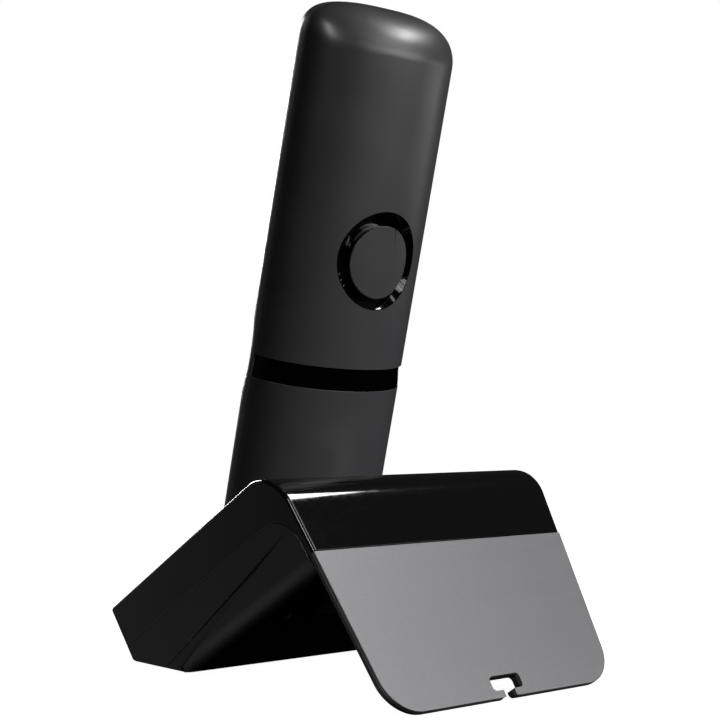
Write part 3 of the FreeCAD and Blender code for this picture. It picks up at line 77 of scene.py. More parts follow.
lift = next(joint for joint in frame["joints"] if joint["name"] == "handset_lift")
LEAN = math.atan2(lift["axis"][1], lift["axis"][2])
SEAT_UP = 30.63
SEAT_SINK = 6.15
seat = Vector((0,
               -HALF_DEPTH + SEAT_UP * math.cos(TOP_SLOPE) + SEAT_SINK * math.sin(TOP_SLOPE),
               FRONT_HEIGHT + SEAT_UP * math.sin(TOP_SLOPE) - SEAT_SINK * math.cos(TOP_SLOPE)))
leg_foot_z = LEG_THICKNESS * math.cos(LEG_SLOPE)
band_y = HALF_DEPTH - (BAND_HEIGHT - leg_foot_z) / math.tan(LEG_SLOPE)
leg_length = (BAND_HEIGHT - leg_foot_z) / math.sin(LEG_SLOPE)


def leaning(origin, turn):
    """Matrix of a frame turned about X at a point given in millimetres."""
    return TO_METRES @ Matrix.Translation(origin) @ Matrix.Rotation(turn, 4, "X")


UPRIGHT = TO_METRES
HANDSET = leaning(seat, -LEAN)
HANDSET_FRONT = HANDSET @ Matrix.Rotation(math.radians(90), 4, "X")
TOP_FACE = leaning(Vector((0, -HALF_DEPTH, FRONT_HEIGHT)), TOP_SLOPE)
LEG_FACE = leaning(Vector((0, band_y, BAND_HEIGHT)), -LEG_SLOPE)
print(f"handset leans {math.degrees(LEAN):.1f} degrees, leg is {leg_length:.1f} mm long")

# %% [markdown]
# ## Camera
# The phone is seen from behind and from its right, almost level with the table, through a long lens
# that keeps the edges of the base nearly parallel. The camera is made first, so that every later
# piece can be judged through it.

# %% camera
CAMERA_PLACE = Vector((0.27086, 0.31430, 0.0696))
CAMERA_TURN = math.radians(40.98)
CAMERA_RISE = math.radians(1.765)
LENS = 78.17
view = Vector((-math.sin(CAMERA_TURN) * math.cos(CAMERA_RISE),
               -math.cos(CAMERA_TURN) * math.cos(CAMERA_RISE),
               math.sin(CAMERA_RISE)))
camera_data = bpy.data.cameras.new("camera")
camera_data.lens = LENS
camera_data.sensor_width = 36
bpy.context.scene.view_settings.view_transform = "Standard"
camera = bpy.data.objects.new("camera", camera_data)
camera.location = CAMERA_PLACE
camera.rotation_euler = view.to_track_quat("-Z", "Y").to_euler()
bpy.context.scene.collection.objects.link(camera)
bpy.context.scene.camera = camera
print(f"camera at {tuple(round(part, 3) for part in CAMERA_PLACE)}, lens {LENS} mm")

# %% [markdown]
# ## Colours and nodes
# Designers write colours as sRGB hex values, and the renderer needs linear light, so one function
# turns one into the other. A second adds a node with its settings and links. Most skins differ in
# only two ways, a fine relief and a changing dullness, so each of those has a function as well.

# %% colour and node helpers


def linear(hex_colour, alpha=1.0):
    """Linear RGBA of an sRGB hex colour."""
    parts = [int(hex_colour[place:place + 2], 16) / 255 for place in (1, 3, 5)]
    bright = [part / 12.92 if part <= 0.04045 else ((part + 0.055) / 1.055) ** 2.4 for part in parts]
    return bright + [alpha]


def add_node(tree, kind, links=(), inputs=None, **settings):
    """Add a node, set its properties and inputs, and link (from socket, to input name) pairs."""
    node = tree.nodes.new(kind)
    for name, value in settings.items():
        setattr(node, name, value)
    for name, value in (inputs or {}).items():
        node.inputs[name].default_value = value
    for socket, name in links:
        tree.links.new(socket, node.inputs[name])
    return node


def start_material(name, colour, roughness, **values):
    """A Principled material with the values that are the same all over."""
    material = bpy.data.materials.new(name)
    material.use_nodes = True
    tree = material.node_tree
    shader = tree.nodes["Principled BSDF"]
    shader.inputs["Base Color"].default_value = linear(colour)
    shader.inputs["Roughness"].default_value = roughness
    for socket, value in values.items():
        shader.inputs[socket.replace("_", " ")].default_value = value
    place = add_node(tree, "ShaderNodeTexCoord").outputs["Object"]
    return material, tree, shader, place


def per_metre(millimetres):
    """Texture scale for a pattern whose features are this far apart."""
    return 1 / (millimetres * MM)


def noise(tree, place, apart, detail):
    """Noise whose features are this many millimetres apart."""
    settings = {"Scale": per_metre(apart), "Detail": detail}
    return add_node(tree, "ShaderNodeTexNoise", [(place, "Vector")], settings).outputs["Fac"]


def relief(tree, shader, height, strength, depth):
    """Tilt the skin with a pattern of a depth in millimetres."""
    settings = {"Strength": strength, "Distance": depth * MM}
    bump = add_node(tree, "ShaderNodeBump", [(height, "Height")], settings)
    tree.links.new(bump.outputs["Normal"], shader.inputs["Normal"])


def dulled(tree, shader, pattern, pattern_range, roughness_range):
    """Let the roughness follow a pattern between two values."""
    settings = {"From Min": pattern_range[0], "From Max": pattern_range[1],
                "To Min": roughness_range[0], "To Max": roughness_range[1]}
    rough = add_node(tree, "ShaderNodeMapRange", [(pattern, "Value")], settings)
    tree.links.new(rough.outputs["Result"], shader.inputs["Roughness"])


# %% [markdown]
# ## Materials of the base
# The top shell is ABS from a polished mould: nearly black, with a mirror-like skin that still has a
# faint waviness where the plastic shrank. The lower shell and the leg come from a spark-eroded mould,
# whose fine pits scatter light to a satin. The leg's face is a drawn sheet with silver lacquer on it:
# tiny metal flakes lie flat in the lacquer, so it is bright without being a mirror.

# %% gloss black ABS


def gloss_black_abs(name, colour):
    """ABS from a polished mould; dark, sharp reflections with a slight waviness and thin dust."""
    material, tree, shader, place = start_material(name, colour, 0.07, IOR=1.53)
    relief(tree, shader, noise(tree, place, 9, 2), 0.25, 0.02)
    dulled(tree, shader, noise(tree, place, 1.4, 5), (0.35, 0.75), (0.05, 0.11))
    return material


def satin_plastic(name, colour, roughness, pit, depth, **values):
    """Skin whose pits, of a given size and depth in millimetres, break up the gloss."""
    material, tree, shader, place = start_material(name, colour, roughness, **values)
    relief(tree, shader, noise(tree, place, pit, 3), 0.5, depth)
    dulled(tree, shader, noise(tree, place, 14, 4), (0.3, 0.7), (roughness - 0.03, roughness + 0.04))
    return material


def silver_lacquer():
    """Silver lacquer with fine metal flakes over a drawn sheet; bright, with a faint grain across."""
    material, tree, shader, place = start_material("silver_lacquer", "#848486", 0.42, Metallic=0.55, IOR=1.5)
    # Real flakes are about 0.02 mm; they are drawn 0.35 mm wide so that they show at all.
    flakes = add_node(tree, "ShaderNodeTexVoronoi", [(place, "Vector")], {"Scale": per_metre(0.35)})
    spots = flakes.outputs["Distance"]
    shade = add_node(tree, "ShaderNodeMix", [(spots, "Factor")], data_type="RGBA")
    shade.inputs["A"].default_value = linear("#88888a")
    shade.inputs["B"].default_value = linear("#7f7f81")
    tree.links.new(shade.outputs["Result"], shader.inputs["Base Color"])
    relief(tree, shader, spots, 0.12, 0.01)
    # The grain of the sheet runs across, 12 mm long and 0.4 mm apart, and dulls the lacquer.
    along = add_node(tree, "ShaderNodeMapping", [(place, "Vector")])
    along.inputs["Scale"].default_value = (per_metre(12), per_metre(0.4), per_metre(0.4))
    grain = add_node(tree, "ShaderNodeTexNoise", [(along.outputs["Vector"], "Vector")],
                     {"Scale": 1, "Detail": 2})
    dulled(tree, shader, grain.outputs["Fac"], (0.3, 0.7), (0.39, 0.46))
    return material


# A black mirror for the top shell, and a deeper one for the waist band and the loudspeaker ring.
gloss_black = gloss_black_abs("gloss_black_abs", "#121213")
jet_black = gloss_black_abs("jet_black_abs", "#040405")
# Quiet satin that sets off the gloss above it; the leg's copy is paler, painted light that stands in for the pale
# floor's glow on its edges, so its edge shows as an outline.
satin_black = satin_plastic("satin_black_abs", "#232324", 0.4, 0.25, 0.012)
leg_satin_painted_floor_light = satin_plastic("satin_leg_abs_painted_light", "#333334", 0.42, 0.25, 0.012)
# The one pale surface, a mid grey that brightens towards the light.
silver = silver_lacquer()
print("base finishes:", gloss_black.name, satin_black.name, silver.name)

# %% [markdown]
# ## Materials of the handset and of the small parts
# The handset is sprayed with a silky dark grey lacquer, which gives one broad soft highlight at the
# top. The keys are satin plastic, the display window smoked acrylic, and the feet rubber. The small
# metal parts keep the default IOR, as metals do.

# %% handset and small-part finishes
# Silky lacquer: one broad soft highlight on the dome and an even dark grey below it.
silky_grey = satin_plastic("silky_grey_lacquer", "#464648", 0.34, 0.18, 0.006)
# The front is a lighter copy of the lacquer, painted light that draws the thin lit line down the handset's side.
front_grey_painted_light = satin_plastic("front_lacquer_painted_light", "#5d5d5f", 0.36, 0.18, 0.006)
# Darker than the front they sit in, so that the keys read at a glance.
key_satin = satin_plastic("satin_keys", "#1c1c1e", 0.38, 0.2, 0.008)
# Dull and almost without highlight, for the feet and the mats.
rubber = satin_plastic("black_rubber", "#161616", 0.75, 0.3, 0.02)
# Plain moulded black, which stays out of sight in the sockets.
socket_black = satin_plastic("socket_nylon", "#1a1a1a", 0.5, 0.3, 0.01)
# Printed marks: pale for the figures, green for talk, red for end.
ink = satin_plastic("pale_ink", "#c9ccce", 0.5, 0.2, 0.004)
green_ink = satin_plastic("green_ink", "#3f9a58", 0.5, 0.2, 0.004)
red_ink = satin_plastic("red_ink", "#b4403a", 0.5, 0.2, 0.004)
# A black sheet of glass to look at, and the grey-green of a display that is off.
acrylic = satin_plastic("smoked_acrylic", "#08080a", 0.05, 6, 0.004, IOR=1.49)
lcd = satin_plastic("unlit_display", "#3b443f", 0.16, 0.3, 0.002, IOR=1.52)
# Small parts: green boards, a red light pipe and the sleeves of the cells.
board_green = satin_plastic("solder_mask", "#12502b", 0.35, 0.6, 0.01)
lens_red = satin_plastic("tinted_light_pipe", "#7a2118", 0.12, 4, 0.004, IOR=1.49)
sleeve = satin_plastic("cell_sleeve", "#4d6a58", 0.35, 2, 0.01)


def plated_metal(name, colour, roughness):
    """Plated metal whose faint drawing marks, half a millimetre apart, spread its glints."""
    material, tree, shader, place = start_material(name, colour, roughness, Metallic=1.0)
    marks = noise(tree, place, 0.5, 6)
    dulled(tree, shader, marks, (0.3, 0.7), (roughness - 0.06, roughness + 0.08))
    relief(tree, shader, marks, 0.2, 0.01)
    return material


zinc = plated_metal("zinc_plated_steel", "#b9b9b6", 0.3)
gold = plated_metal("gold_plate", "#d6ad62", 0.22)
print("small-part finishes made")

# %% [markdown]
# ## Making, cutting and softening a piece
# Every piece goes the same way: a bmesh in millimetres becomes an object whose place is in its mesh,
# rides on its body, takes its finish, and may stand for a CAD node. Holes are cut with a Boolean, as
# a mould insert does: one shape is taken out of another. A Bevel modifier then breaks the sharp
# edges, because no moulded edge is truly sharp, and it is the small radius that catches light.

# %% piece helpers


def face_outward(shape):
    """Turn every face of a closed shape outwards."""
    bmesh.ops.recalc_face_normals(shape, faces=shape.faces)
    if shape.calc_volume(signed=True) < 0:
        bmesh.ops.reverse_faces(shape, faces=shape.faces[:])


def to_mesh(name, shape):
    """Turn a bmesh into a mesh and free it."""
    mesh = bpy.data.meshes.new(name)
    shape.to_mesh(mesh)
    shape.free()
    return mesh


def show(name, data):
    """Put some data into the scene as an object."""
    target = bpy.data.objects.new(name, data)
    bpy.context.scene.collection.objects.link(target)
    return target


def to_object(name, shape, place):
    """Turn a bmesh in millimetres into an object in metres."""
    bmesh.ops.remove_doubles(shape, verts=shape.verts, dist=1e-4)
    face_outward(shape)
    bmesh.ops.transform(shape, matrix=place, verts=shape.verts)
    return show(name, to_mesh(name, shape))


def round_off(shape, parts, radius, segments, affect="EDGES"):
    """Round some edges of a shape, or the corners of a flat one."""
    bmesh.ops.bevel(shape, geom=parts, offset=radius, offset_type="OFFSET", segments=segments,
                    profile=0.5, affect=affect, material=-1)


def raise_faces(shape, faces, way):
    """Extrude a flat region by a vector."""
    raised = bmesh.ops.extrude_face_region(shape, geom=faces)
    far = [part for part in raised["geom"] if isinstance(part, bmesh.types.BMVert)]
    bmesh.ops.translate(shape, vec=way, verts=far)


def next_ring(shape, loop):
    """Extrude a loop of edges in place and return the new loop."""
    grown = bmesh.ops.extrude_edge_only(shape, edges=loop)["geom"]
    return [part for part in grown if isinstance(part, bmesh.types.BMEdge)]


def verts_of(parts):
    """Vertices of some edges, each once and in the same order every time."""
    return list(dict.fromkeys(vert for part in parts for vert in part.verts))


def settle(target):
    """Apply an object's modifiers to its mesh."""
    bpy.context.view_layer.update()
    solved = target.evaluated_get(bpy.context.evaluated_depsgraph_get())
    mesh = bpy.data.meshes.new_from_object(solved)
    target.modifiers.clear()
    target.data = mesh


def carve(target, cutters, operation="DIFFERENCE"):
    """Cut objects out of a target, or keep only what it shares with them, and remove them."""
    for cutter in cutters:
        modifier = target.modifiers.new("carve", "BOOLEAN")
        modifier.operation = operation
        modifier.solver = "EXACT"
        modifier.object = cutter
        settle(target)
        bpy.data.objects.remove(cutter)
    return target


def soften(target, radius, segments=3, corner=32, clamp=True):
    """Break every edge sharper than a corner, in degrees, and keep the flats beside it flat."""
    bevel = target.modifiers.new("soften", "BEVEL")
    bevel.width = radius * MM
    bevel.segments = segments
    bevel.limit_method = "ANGLE"
    bevel.angle_limit = math.radians(corner)
    bevel.use_clamp_overlap = clamp
    hold = target.modifiers.new("hold_flats", "WEIGHTED_NORMAL")
    hold.weight = 100
    hold.keep_sharp = True


def finish_piece(target, material, body, stands_for=(), corner=32):
    """Give a piece its finish, its smooth shading, its body and the nodes it stands for."""
    target.data.materials.clear()
    target.data.materials.append(material)
    for polygon in target.data.polygons:
        polygon.use_smooth = True
        polygon.material_index = 0
    target.data.set_sharp_from_angle(angle=math.radians(corner))
    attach(target, body)
    if stands_for:
        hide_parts(*stands_for)
    print(f"{target.name}: {len(target.data.vertices)} vertices on {body}")
    return target


# %% [markdown]
# ## Plates and folded sections
# Two shapes return again and again. A plate with rounded corners starts as a grid of one face, whose
# corners are bevelled and which is then extruded. A folded section starts as a face with a few
# corners, is extruded across the base, has its folds bevelled, and is cut along both flanks.

# %% plate and folded section
NEAR = 0.01
CUT_SNAP = 1e-5
PAST_FLANK = 70


def plate(width, height, thickness, corner=0, low=0, middle=(0, 0), rounding=12):
    """Plate on its local XY plane with rounded corners."""
    shape = bmesh.new()
    bmesh.ops.create_grid(shape, x_segments=1, y_segments=1, size=0.5)
    bmesh.ops.scale(shape, vec=(width, height, 1), verts=shape.verts)
    bmesh.ops.translate(shape, vec=(*middle, low), verts=shape.verts)
    if corner:
        round_off(shape, shape.verts[:], corner, rounding, "VERTICES")
    raise_faces(shape, shape.faces[:], (0, 0, thickness))
    return shape


def disc(radius, height, low=0, middle=(0, 0), segments=64):
    """Upright disc."""
    shape = bmesh.new()
    bmesh.ops.create_cone(shape, cap_ends=True, segments=segments, radius1=radius, radius2=radius,
                          depth=height)
    bmesh.ops.translate(shape, vec=(*middle, low + height / 2), verts=shape.verts)
    return shape


def bend(shape, corner, radius, turn, segments):
    """Round the long edge of a folded section at a corner of its outline."""
    along = [edge for edge in shape.edges
             if all(math.dist(vert.co.yz, corner) < NEAR for vert in edge.verts)]
    round_off(shape, along, radius * math.tan(turn / 2), segments)


def trim(shape, point, normal):
    """Cut a closed shape with a plane, drop what lies outside and close the cut."""
    whole = shape.verts[:] + shape.edges[:] + shape.faces[:]
    cut = bmesh.ops.bisect_plane(shape, geom=whole, dist=CUT_SNAP, plane_co=point, plane_no=normal,
                                 clear_outer=True)
    edges = [part for part in cut["geom_cut"] if isinstance(part, bmesh.types.BMEdge)]
    bmesh.ops.edgeloop_fill(shape, edges=edges)


def folded(corners, bends=(), inset=0):
    """Section of the base across its whole width, cut along both flanks at an inset."""
    shape = bmesh.new()
    verts = [shape.verts.new((-PAST_FLANK, y, z)) for y, z in corners]
    outline = [shape.edges.new(pair) for pair in zip(verts, verts[1:] + verts[:1])]
    face = bmesh.ops.contextual_create(shape, geom=outline)["faces"]
    raise_faces(shape, face, (2 * PAST_FLANK, 0, 0))
    for corner, radius, turn, segments in bends:
        bend(shape, corner, radius, turn, segments)
    for side in (1, -1):
        point = Vector((side * (TABLE_HALF_WIDTH - inset / math.cos(FLANK_DRAFT)), 0, 0))
        trim(shape, point, Vector((side * math.cos(FLANK_DRAFT), 0, -math.sin(FLANK_DRAFT))))
    return shape


def round_rim(shape, radius, segments=5):
    """Round the edges between the flanks and the faces that look up, and the front upper edge."""
    rim = []
    for edge in shape.edges:
        sides = [face.normal for face in edge.link_faces]
        flanks = [normal for normal in sides if abs(normal.x) > 0.9]
        upper = [normal for normal in sides if normal.z > 0.3 and abs(normal.x) < 0.5]
        front = [normal for normal in sides if normal.y < -0.7]
        if upper and (flanks or front):
            rim.append(edge)
    round_off(shape, rim, radius, segments)


# %% [markdown]
# ## Corners of the folded base
# The outline of the base is a handful of straight lines: top face, leg, front end, sole and
# underside. Each corner is where two of them meet at given depths, so the walls and the seam follow
# from the same few angles, and nothing is copied by hand.

# %% corners of the section
apex_y = ((leg_foot_z - FRONT_HEIGHT + (math.tan(LEG_SLOPE) - math.tan(TOP_SLOPE)) * HALF_DEPTH)
          / (math.tan(TOP_SLOPE) + math.tan(LEG_SLOPE)))
apex_z = FRONT_HEIGHT + math.tan(TOP_SLOPE) * (apex_y + HALF_DEPTH)
FOLD = TOP_SLOPE + LEG_SLOPE


def under_fold(top_depth, leg_depth):
    """Corner at two depths, under the top face and under the leg's face."""
    back = top_depth * math.cos(LEG_SLOPE) - leg_depth * math.cos(TOP_SLOPE)
    down = top_depth * math.sin(LEG_SLOPE) + leg_depth * math.sin(TOP_SLOPE)
    return apex_y + back / math.sin(FOLD), apex_z - down / math.sin(FOLD)


def front_end(depth, inset=0.0):
    """Point under the top face, behind the front end face."""
    along = depth / math.tan(FRONT_SLOPE + TOP_SLOPE) + inset / math.sin(FRONT_SLOPE + TOP_SLOPE)
    return (-HALF_DEPTH + along * math.cos(TOP_SLOPE) + depth * math.sin(TOP_SLOPE),
            FRONT_HEIGHT + along * math.sin(TOP_SLOPE) - depth * math.cos(TOP_SLOPE))


def front_foot(height, inset=0.0):
    """Point at a height behind the front end face."""
    along = (FRONT_HEIGHT - height) / math.tan(FRONT_SLOPE) + inset / math.sin(FRONT_SLOPE)
    return -HALF_DEPTH + along, height


def rear_foot(height, depth):
    """Point at a height and a depth under the top face."""
    along = (height - FRONT_HEIGHT) / math.tan(TOP_SLOPE) + depth / math.sin(TOP_SLOPE)
    return -HALF_DEPTH + along, height


def band_foot(depth):
    """Lower end of the gloss band at a depth under the leg's face."""
    return band_y - depth * math.sin(LEG_SLOPE), BAND_HEIGHT - depth * math.cos(LEG_SLOPE)


seam_corner = under_fold(SKIRT, LEG_THICKNESS)
heel = rear_foot(SOLE, SLAB)
crook = under_fold(SLAB, LEG_THICKNESS)
print(f"apex {apex_y:.1f}, {apex_z:.1f} mm; crook {crook[0]:.1f}, {crook[1]:.1f} mm")

# %% [markdown]
# ## Outline of the handset
# The handset is one smooth body before it is parted into shells. Seen from the front it narrows to a
# squarish dome, seen from the side the back rolls over at the top, and the front dips at the waist.
# Three small formulas give half width, back depth and front depth at any height. A ring of vertices
# is then extruded upwards station by station and scaled to those three values.

# %% handset outline formulas
LENGTH = 155.9
HALF_WIDTH = 24.0
BACK = 16.5
FRONT = 5.6
FRONT_ROUND = 4.4
DOME = 12.8
DOME_EASE = 0.1
SIDE_POWER = 3.0
BACK_POWER = 1.52
HEAD_ROUND = 3.0
BOTTOM_CORNER = 6.0
BOTTOM_ROUND = 3.0
SHELL_WALL = 1.6
WAIST_LOW = 56.4
WAIST_TOP = 62.3
DIP_MIDDLE = 62.2
DIP_REACH = 10.7
DIP_DEPTH = 1.5
DIP_POWER = 1.2


def quarter(distance, radius):
    """How far a rounded end has drawn in at a distance from it."""
    if distance >= radius:
        return 0.0
    return radius - math.sqrt(radius ** 2 - (radius - distance) ** 2)


def dome_share(height, inset, power):
    """Share of the full size left at a height in the dome, which starts with a soft ease."""
    share = min(max((height - LENGTH + DOME) / (DOME - inset), 0), 1)
    eased = (math.hypot(share, DOME_EASE) - DOME_EASE) / (math.hypot(1, DOME_EASE) - DOME_EASE)
    return (1 - min(eased, 1) ** power) ** (1 / power)


def skin_size(height, inset=0.0):
    """Half width, back depth and front depth of the skin, or of a smaller one inside it."""
    head = LENGTH - inset - height
    corner = quarter(height - inset, BOTTOM_CORNER - inset)
    roll = quarter(height - inset, BOTTOM_ROUND - inset)
    wide = (HALF_WIDTH - inset - corner) * dome_share(height, inset, SIDE_POWER)
    back = (BACK - inset - roll) * dome_share(height, inset, BACK_POWER)
    dip = max(1 - ((height - DIP_MIDDLE) / DIP_REACH) ** 2, 0) ** DIP_POWER * DIP_DEPTH
    front = FRONT - inset - dip - roll - quarter(head, HEAD_ROUND - inset)
    return wide, back, front


def keep_back(shape):
    """Keep only the half of a flat ring that lies behind the seam."""
    bmesh.ops.bisect_plane(shape, geom=shape.verts[:] + shape.edges[:], dist=CUT_SNAP,
                           plane_co=(0, 0, 0), plane_no=(0, -1, 0), clear_outer=True)


def section_loop(shape, grow=0.0, segments=144):
    """Closed section of the handset: half an ellipse behind, a flat front with rounded edges."""
    bmesh.ops.create_circle(shape, segments=segments, radius=1)
    bmesh.ops.scale(shape, vec=(HALF_WIDTH + grow, BACK + grow, 1), verts=shape.verts)
    keep_back(shape)
    ends = [vert for vert in shape.verts if len(vert.link_edges) == 1]
    dropped = bmesh.ops.extrude_vert_indiv(shape, verts=ends)["verts"]
    bmesh.ops.translate(shape, vec=(0, -(FRONT + grow), 0), verts=dropped)
    shape.edges.new(dropped)
    round_off(shape, dropped, FRONT_ROUND + grow, 10, "VERTICES")
    return shape.edges[:]


def section_prism(grow, low, high):
    """The handset's section extruded along its axis."""
    shape = bmesh.new()
    face = bmesh.ops.contextual_create(shape, geom=section_loop(shape, grow))["faces"]
    bmesh.ops.translate(shape, vec=(0, 0, low), verts=shape.verts)
    raise_faces(shape, face, (0, 0, high - low))
    return shape


def stations(inset):
    """Heights of the rings: close together where the outline turns."""
    corner = BOTTOM_CORNER - inset
    dome = DOME - inset
    heights = [inset + corner * (1 - math.cos(math.radians(angle))) for angle in range(0, 90, 10)]
    heights += [8 + 5 * step for step in range(9)]
    heights += [51.5 + 0.9 * step for step in range(25)]
    heights += [76 + 6 * step for step in range(11)]
    heights += [LENGTH - DOME + dome * math.sin(math.radians(angle)) for angle in range(0, 88, 4)]
    return heights + [LENGTH - inset - 0.03, LENGTH - inset - 0.008]


def handset_skin(name, inset):
    """Closed skin of the whole handset, or of the room inside its walls."""
    shape = bmesh.new()
    loop = section_loop(shape, -inset)
    size = (HALF_WIDTH - inset, BACK - inset, FRONT - inset)
    below = 0.0
    for number, height in enumerate(stations(inset)):
        if number:
            loop = next_ring(shape, loop)
        ring = verts_of(loop)
        target = skin_size(height, inset)
        across = target[0] / size[0]
        rear = [vert for vert in ring if vert.co.y >= 0]
        front = [vert for vert in ring if vert.co.y < 0]
        bmesh.ops.scale(shape, vec=(across, target[1] / size[1], 1), verts=rear)
        bmesh.ops.scale(shape, vec=(across, target[2] / size[2], 1), verts=front)
        bmesh.ops.translate(shape, vec=(0, 0, height - below), verts=ring)
        if not number:
            bmesh.ops.contextual_create(shape, geom=loop)
        size = target
        below = height
    bmesh.ops.contextual_create(shape, geom=loop)
    face_outward(shape)
    return to_mesh(name, shape)


skin_mesh = handset_skin("handset_skin", 0.0)
room_mesh = handset_skin("handset_room", SHELL_WALL)
print(f"handset skin: {len(skin_mesh.vertices)} vertices")

# %% [markdown]
# ## Top shell of the base
# One gloss moulding covers the top face, the bend and the band behind, with a skirt on each flank.
# The section is folded, hollowed and then pierced for the handset, the page key and the light.

# %% top shell
apex = (apex_y, apex_z)
APEX_RADIUS = 12.4
RIM_RADIUS = 1.0
SEAM_EDGE = 0.18
SEAM_RADIUS = 9.6
PAGE_UP = 10.0
PAGE_WIDTH = 14.0
PAGE_LENGTH = 6.0
LIGHT_OFFSET = 13.0
LIGHT_RADIUS = 1.2
HOLE_GAP = 0.25
CUP_GROW = 2.1
CUP_FLOOR = 2.2
THROUGH = 14


def base_hollow():
    """Room inside both shells of the base."""
    roof = under_fold(BASE_WALL, LEG_THICKNESS + BASE_WALL)
    floor = SOLE + BASE_WALL
    inner_crook = under_fold(SLAB - BASE_WALL, LEG_THICKNESS + BASE_WALL)
    corners = [front_end(BASE_WALL, BASE_WALL), front_foot(floor, BASE_WALL),
               rear_foot(floor, SLAB - BASE_WALL), inner_crook, roof]
    bends = [(roof, SEAM_RADIUS - 2, FOLD, 16)]
    return to_object("hollow", folded(corners, bends, BASE_WALL), UPRIGHT)


def make_top_shell():
    corners = [front_end(0), apex, band_foot(0), band_foot(LEG_THICKNESS), seam_corner,
               front_end(SKIRT)]
    bends = [(apex, APEX_RADIUS, FOLD, 32), (seam_corner, SEAM_RADIUS, FOLD, 24)]
    shape = folded(corners, bends)
    face_outward(shape)
    round_rim(shape, RIM_RADIUS)
    shell = to_object("base_top_shell_skin", shape, UPRIGHT)
    pocket = to_object("pocket", section_prism(CUP_GROW + 0.1, -CUP_FLOOR - 0.2, 80), HANDSET)
    key_hole = plate(PAGE_WIDTH + 2 * HOLE_GAP, PAGE_LENGTH + 2 * HOLE_GAP, THROUGH, 3.24, -THROUGH / 2,
                     (0, PAGE_UP))
    light_hole = disc(LIGHT_RADIUS + 0.05, THROUGH, -THROUGH / 2, (LIGHT_OFFSET, PAGE_UP), 32)
    carve(shell, [base_hollow(), pocket, to_object("key_hole", key_hole, TOP_FACE),
                  to_object("light_hole", light_hole, TOP_FACE)])
    soften(shell, SEAM_EDGE, 2, 28, False)
    finish_piece(shell, gloss_black, "base", ["base_top_shell"], 28)


make_top_shell()

# %% [markdown]
# ## Lower shell of the base
# The satin lower shell carries the flanks, the front end, the sole and the slanted underside. The
# edge between flank and underside is soft, about as round as a pencil. Wells for the feet and the
# screws and a notch for the two sockets are cut from below.

# %% lower shell
UNDERSIDE_ROUND = 4.5
SOLE_SHARE = 0.22
HEEL_RADIUS = 9
FOOT_RADIUS = 4.0
FOOT_BACK = 26.0
FOOT_ASIDE = 18.0
BAY_BACK = 65.5
BAY_RISE = 10.3
BAY_WIDTH = 46.0
SCREW_BACK = 66.5
WELL_RADIUS = 2.9


def underside_height(back):
    """Height of the slanted underside at a distance behind the front."""
    return FRONT_HEIGHT + back * math.tan(TOP_SLOPE) - SLAB / math.cos(TOP_SLOPE)


SCREWS = [(29.5, 15.5, SOLE + 1.3), (32.0, SCREW_BACK, underside_height(SCREW_BACK) + 4.6)]


def round_underside(target):
    """Soft edge under each flank: full under the slab, easing to a small one along the sole."""
    shape = bmesh.new()
    shape.from_mesh(target.data)
    weight = shape.edges.layers.float.new("bevel_weight_edge")
    for edge in shape.edges:
        sides = [face.normal for face in edge.link_faces]
        below = [normal for normal in sides if normal.z < -0.7 and abs(normal.x) < 0.5]
        if below and any(abs(normal.x) > 0.9 for normal in sides):
            turned = math.acos(min(1, -below[0].z)) / TOP_SLOPE
            edge[weight] = SOLE_SHARE + (1 - SOLE_SHARE) * min(turned, 1)
    shape.to_mesh(target.data)
    shape.free()
    bevel = target.modifiers.new("soft_edge", "BEVEL")
    bevel.width = UNDERSIDE_ROUND * MM
    bevel.segments = 10
    bevel.limit_method = "WEIGHT"
    bevel.use_clamp_overlap = False
    settle(target)


def make_lower_shell():
    corners = [front_end(SKIRT), front_foot(SOLE), heel, crook, seam_corner]
    bends = [(seam_corner, SEAM_RADIUS, FOLD, 24), (heel, HEEL_RADIUS, TOP_SLOPE, 10)]
    shell = to_object("base_lower_shell_skin", folded(corners, bends), UPRIGHT)
    round_underside(shell)
    bay_depth = BAY_RISE / math.tan(TOP_SLOPE) + 1
    bay_middle = -HALF_DEPTH + BAY_BACK + bay_depth / 2
    cuts = [plate(BAY_WIDTH, bay_depth, underside_height(BAY_BACK) + BAY_RISE, middle=(0, bay_middle))]
    for side in (-1, 1):
        cuts.append(disc(FOOT_RADIUS + 0.1, 2.5, -1, (side * FOOT_ASIDE, -HALF_DEPTH + FOOT_BACK), 48))
        for across, back, seat_height in SCREWS:
            cuts.append(disc(WELL_RADIUS, seat_height + 1, -1, (side * across, -HALF_DEPTH + back), 40))
    carve(shell, [base_hollow()] + [to_object("well", cut, UPRIGHT) for cut in cuts])
    soften(shell, SEAM_EDGE, 2, 30, False)
    finish_piece(shell, satin_black, "base", ["base_lower_shell"], 30)


make_lower_shell()

# %% [markdown]
# ## Leg and silver panel
# The leg is a thin plate that narrows towards the table, with two round lower corners and a
# T-shaped slot that the leads are pressed through. Its face is a separate silver panel, so the dark
# core shows as an outline round it.

# %% leg and panel
LEG_CORNER = 8.8
LEG_ROLL = 1.5
MOUTH_CORNER = 1.0
SLOT_WIDTH = 10.0
SLOT_HEIGHT = 3.6
SLOT_LIFT = 2.0
NECK_WIDTH = 3.6
SLOT_CUT = 12


def leg_half_width(down):
    """Half width of the leg at a distance below the band."""
    return TABLE_HALF_WIDTH + (BAND_HEIGHT - down * math.sin(LEG_SLOPE)) * math.tan(FLANK_DRAFT)


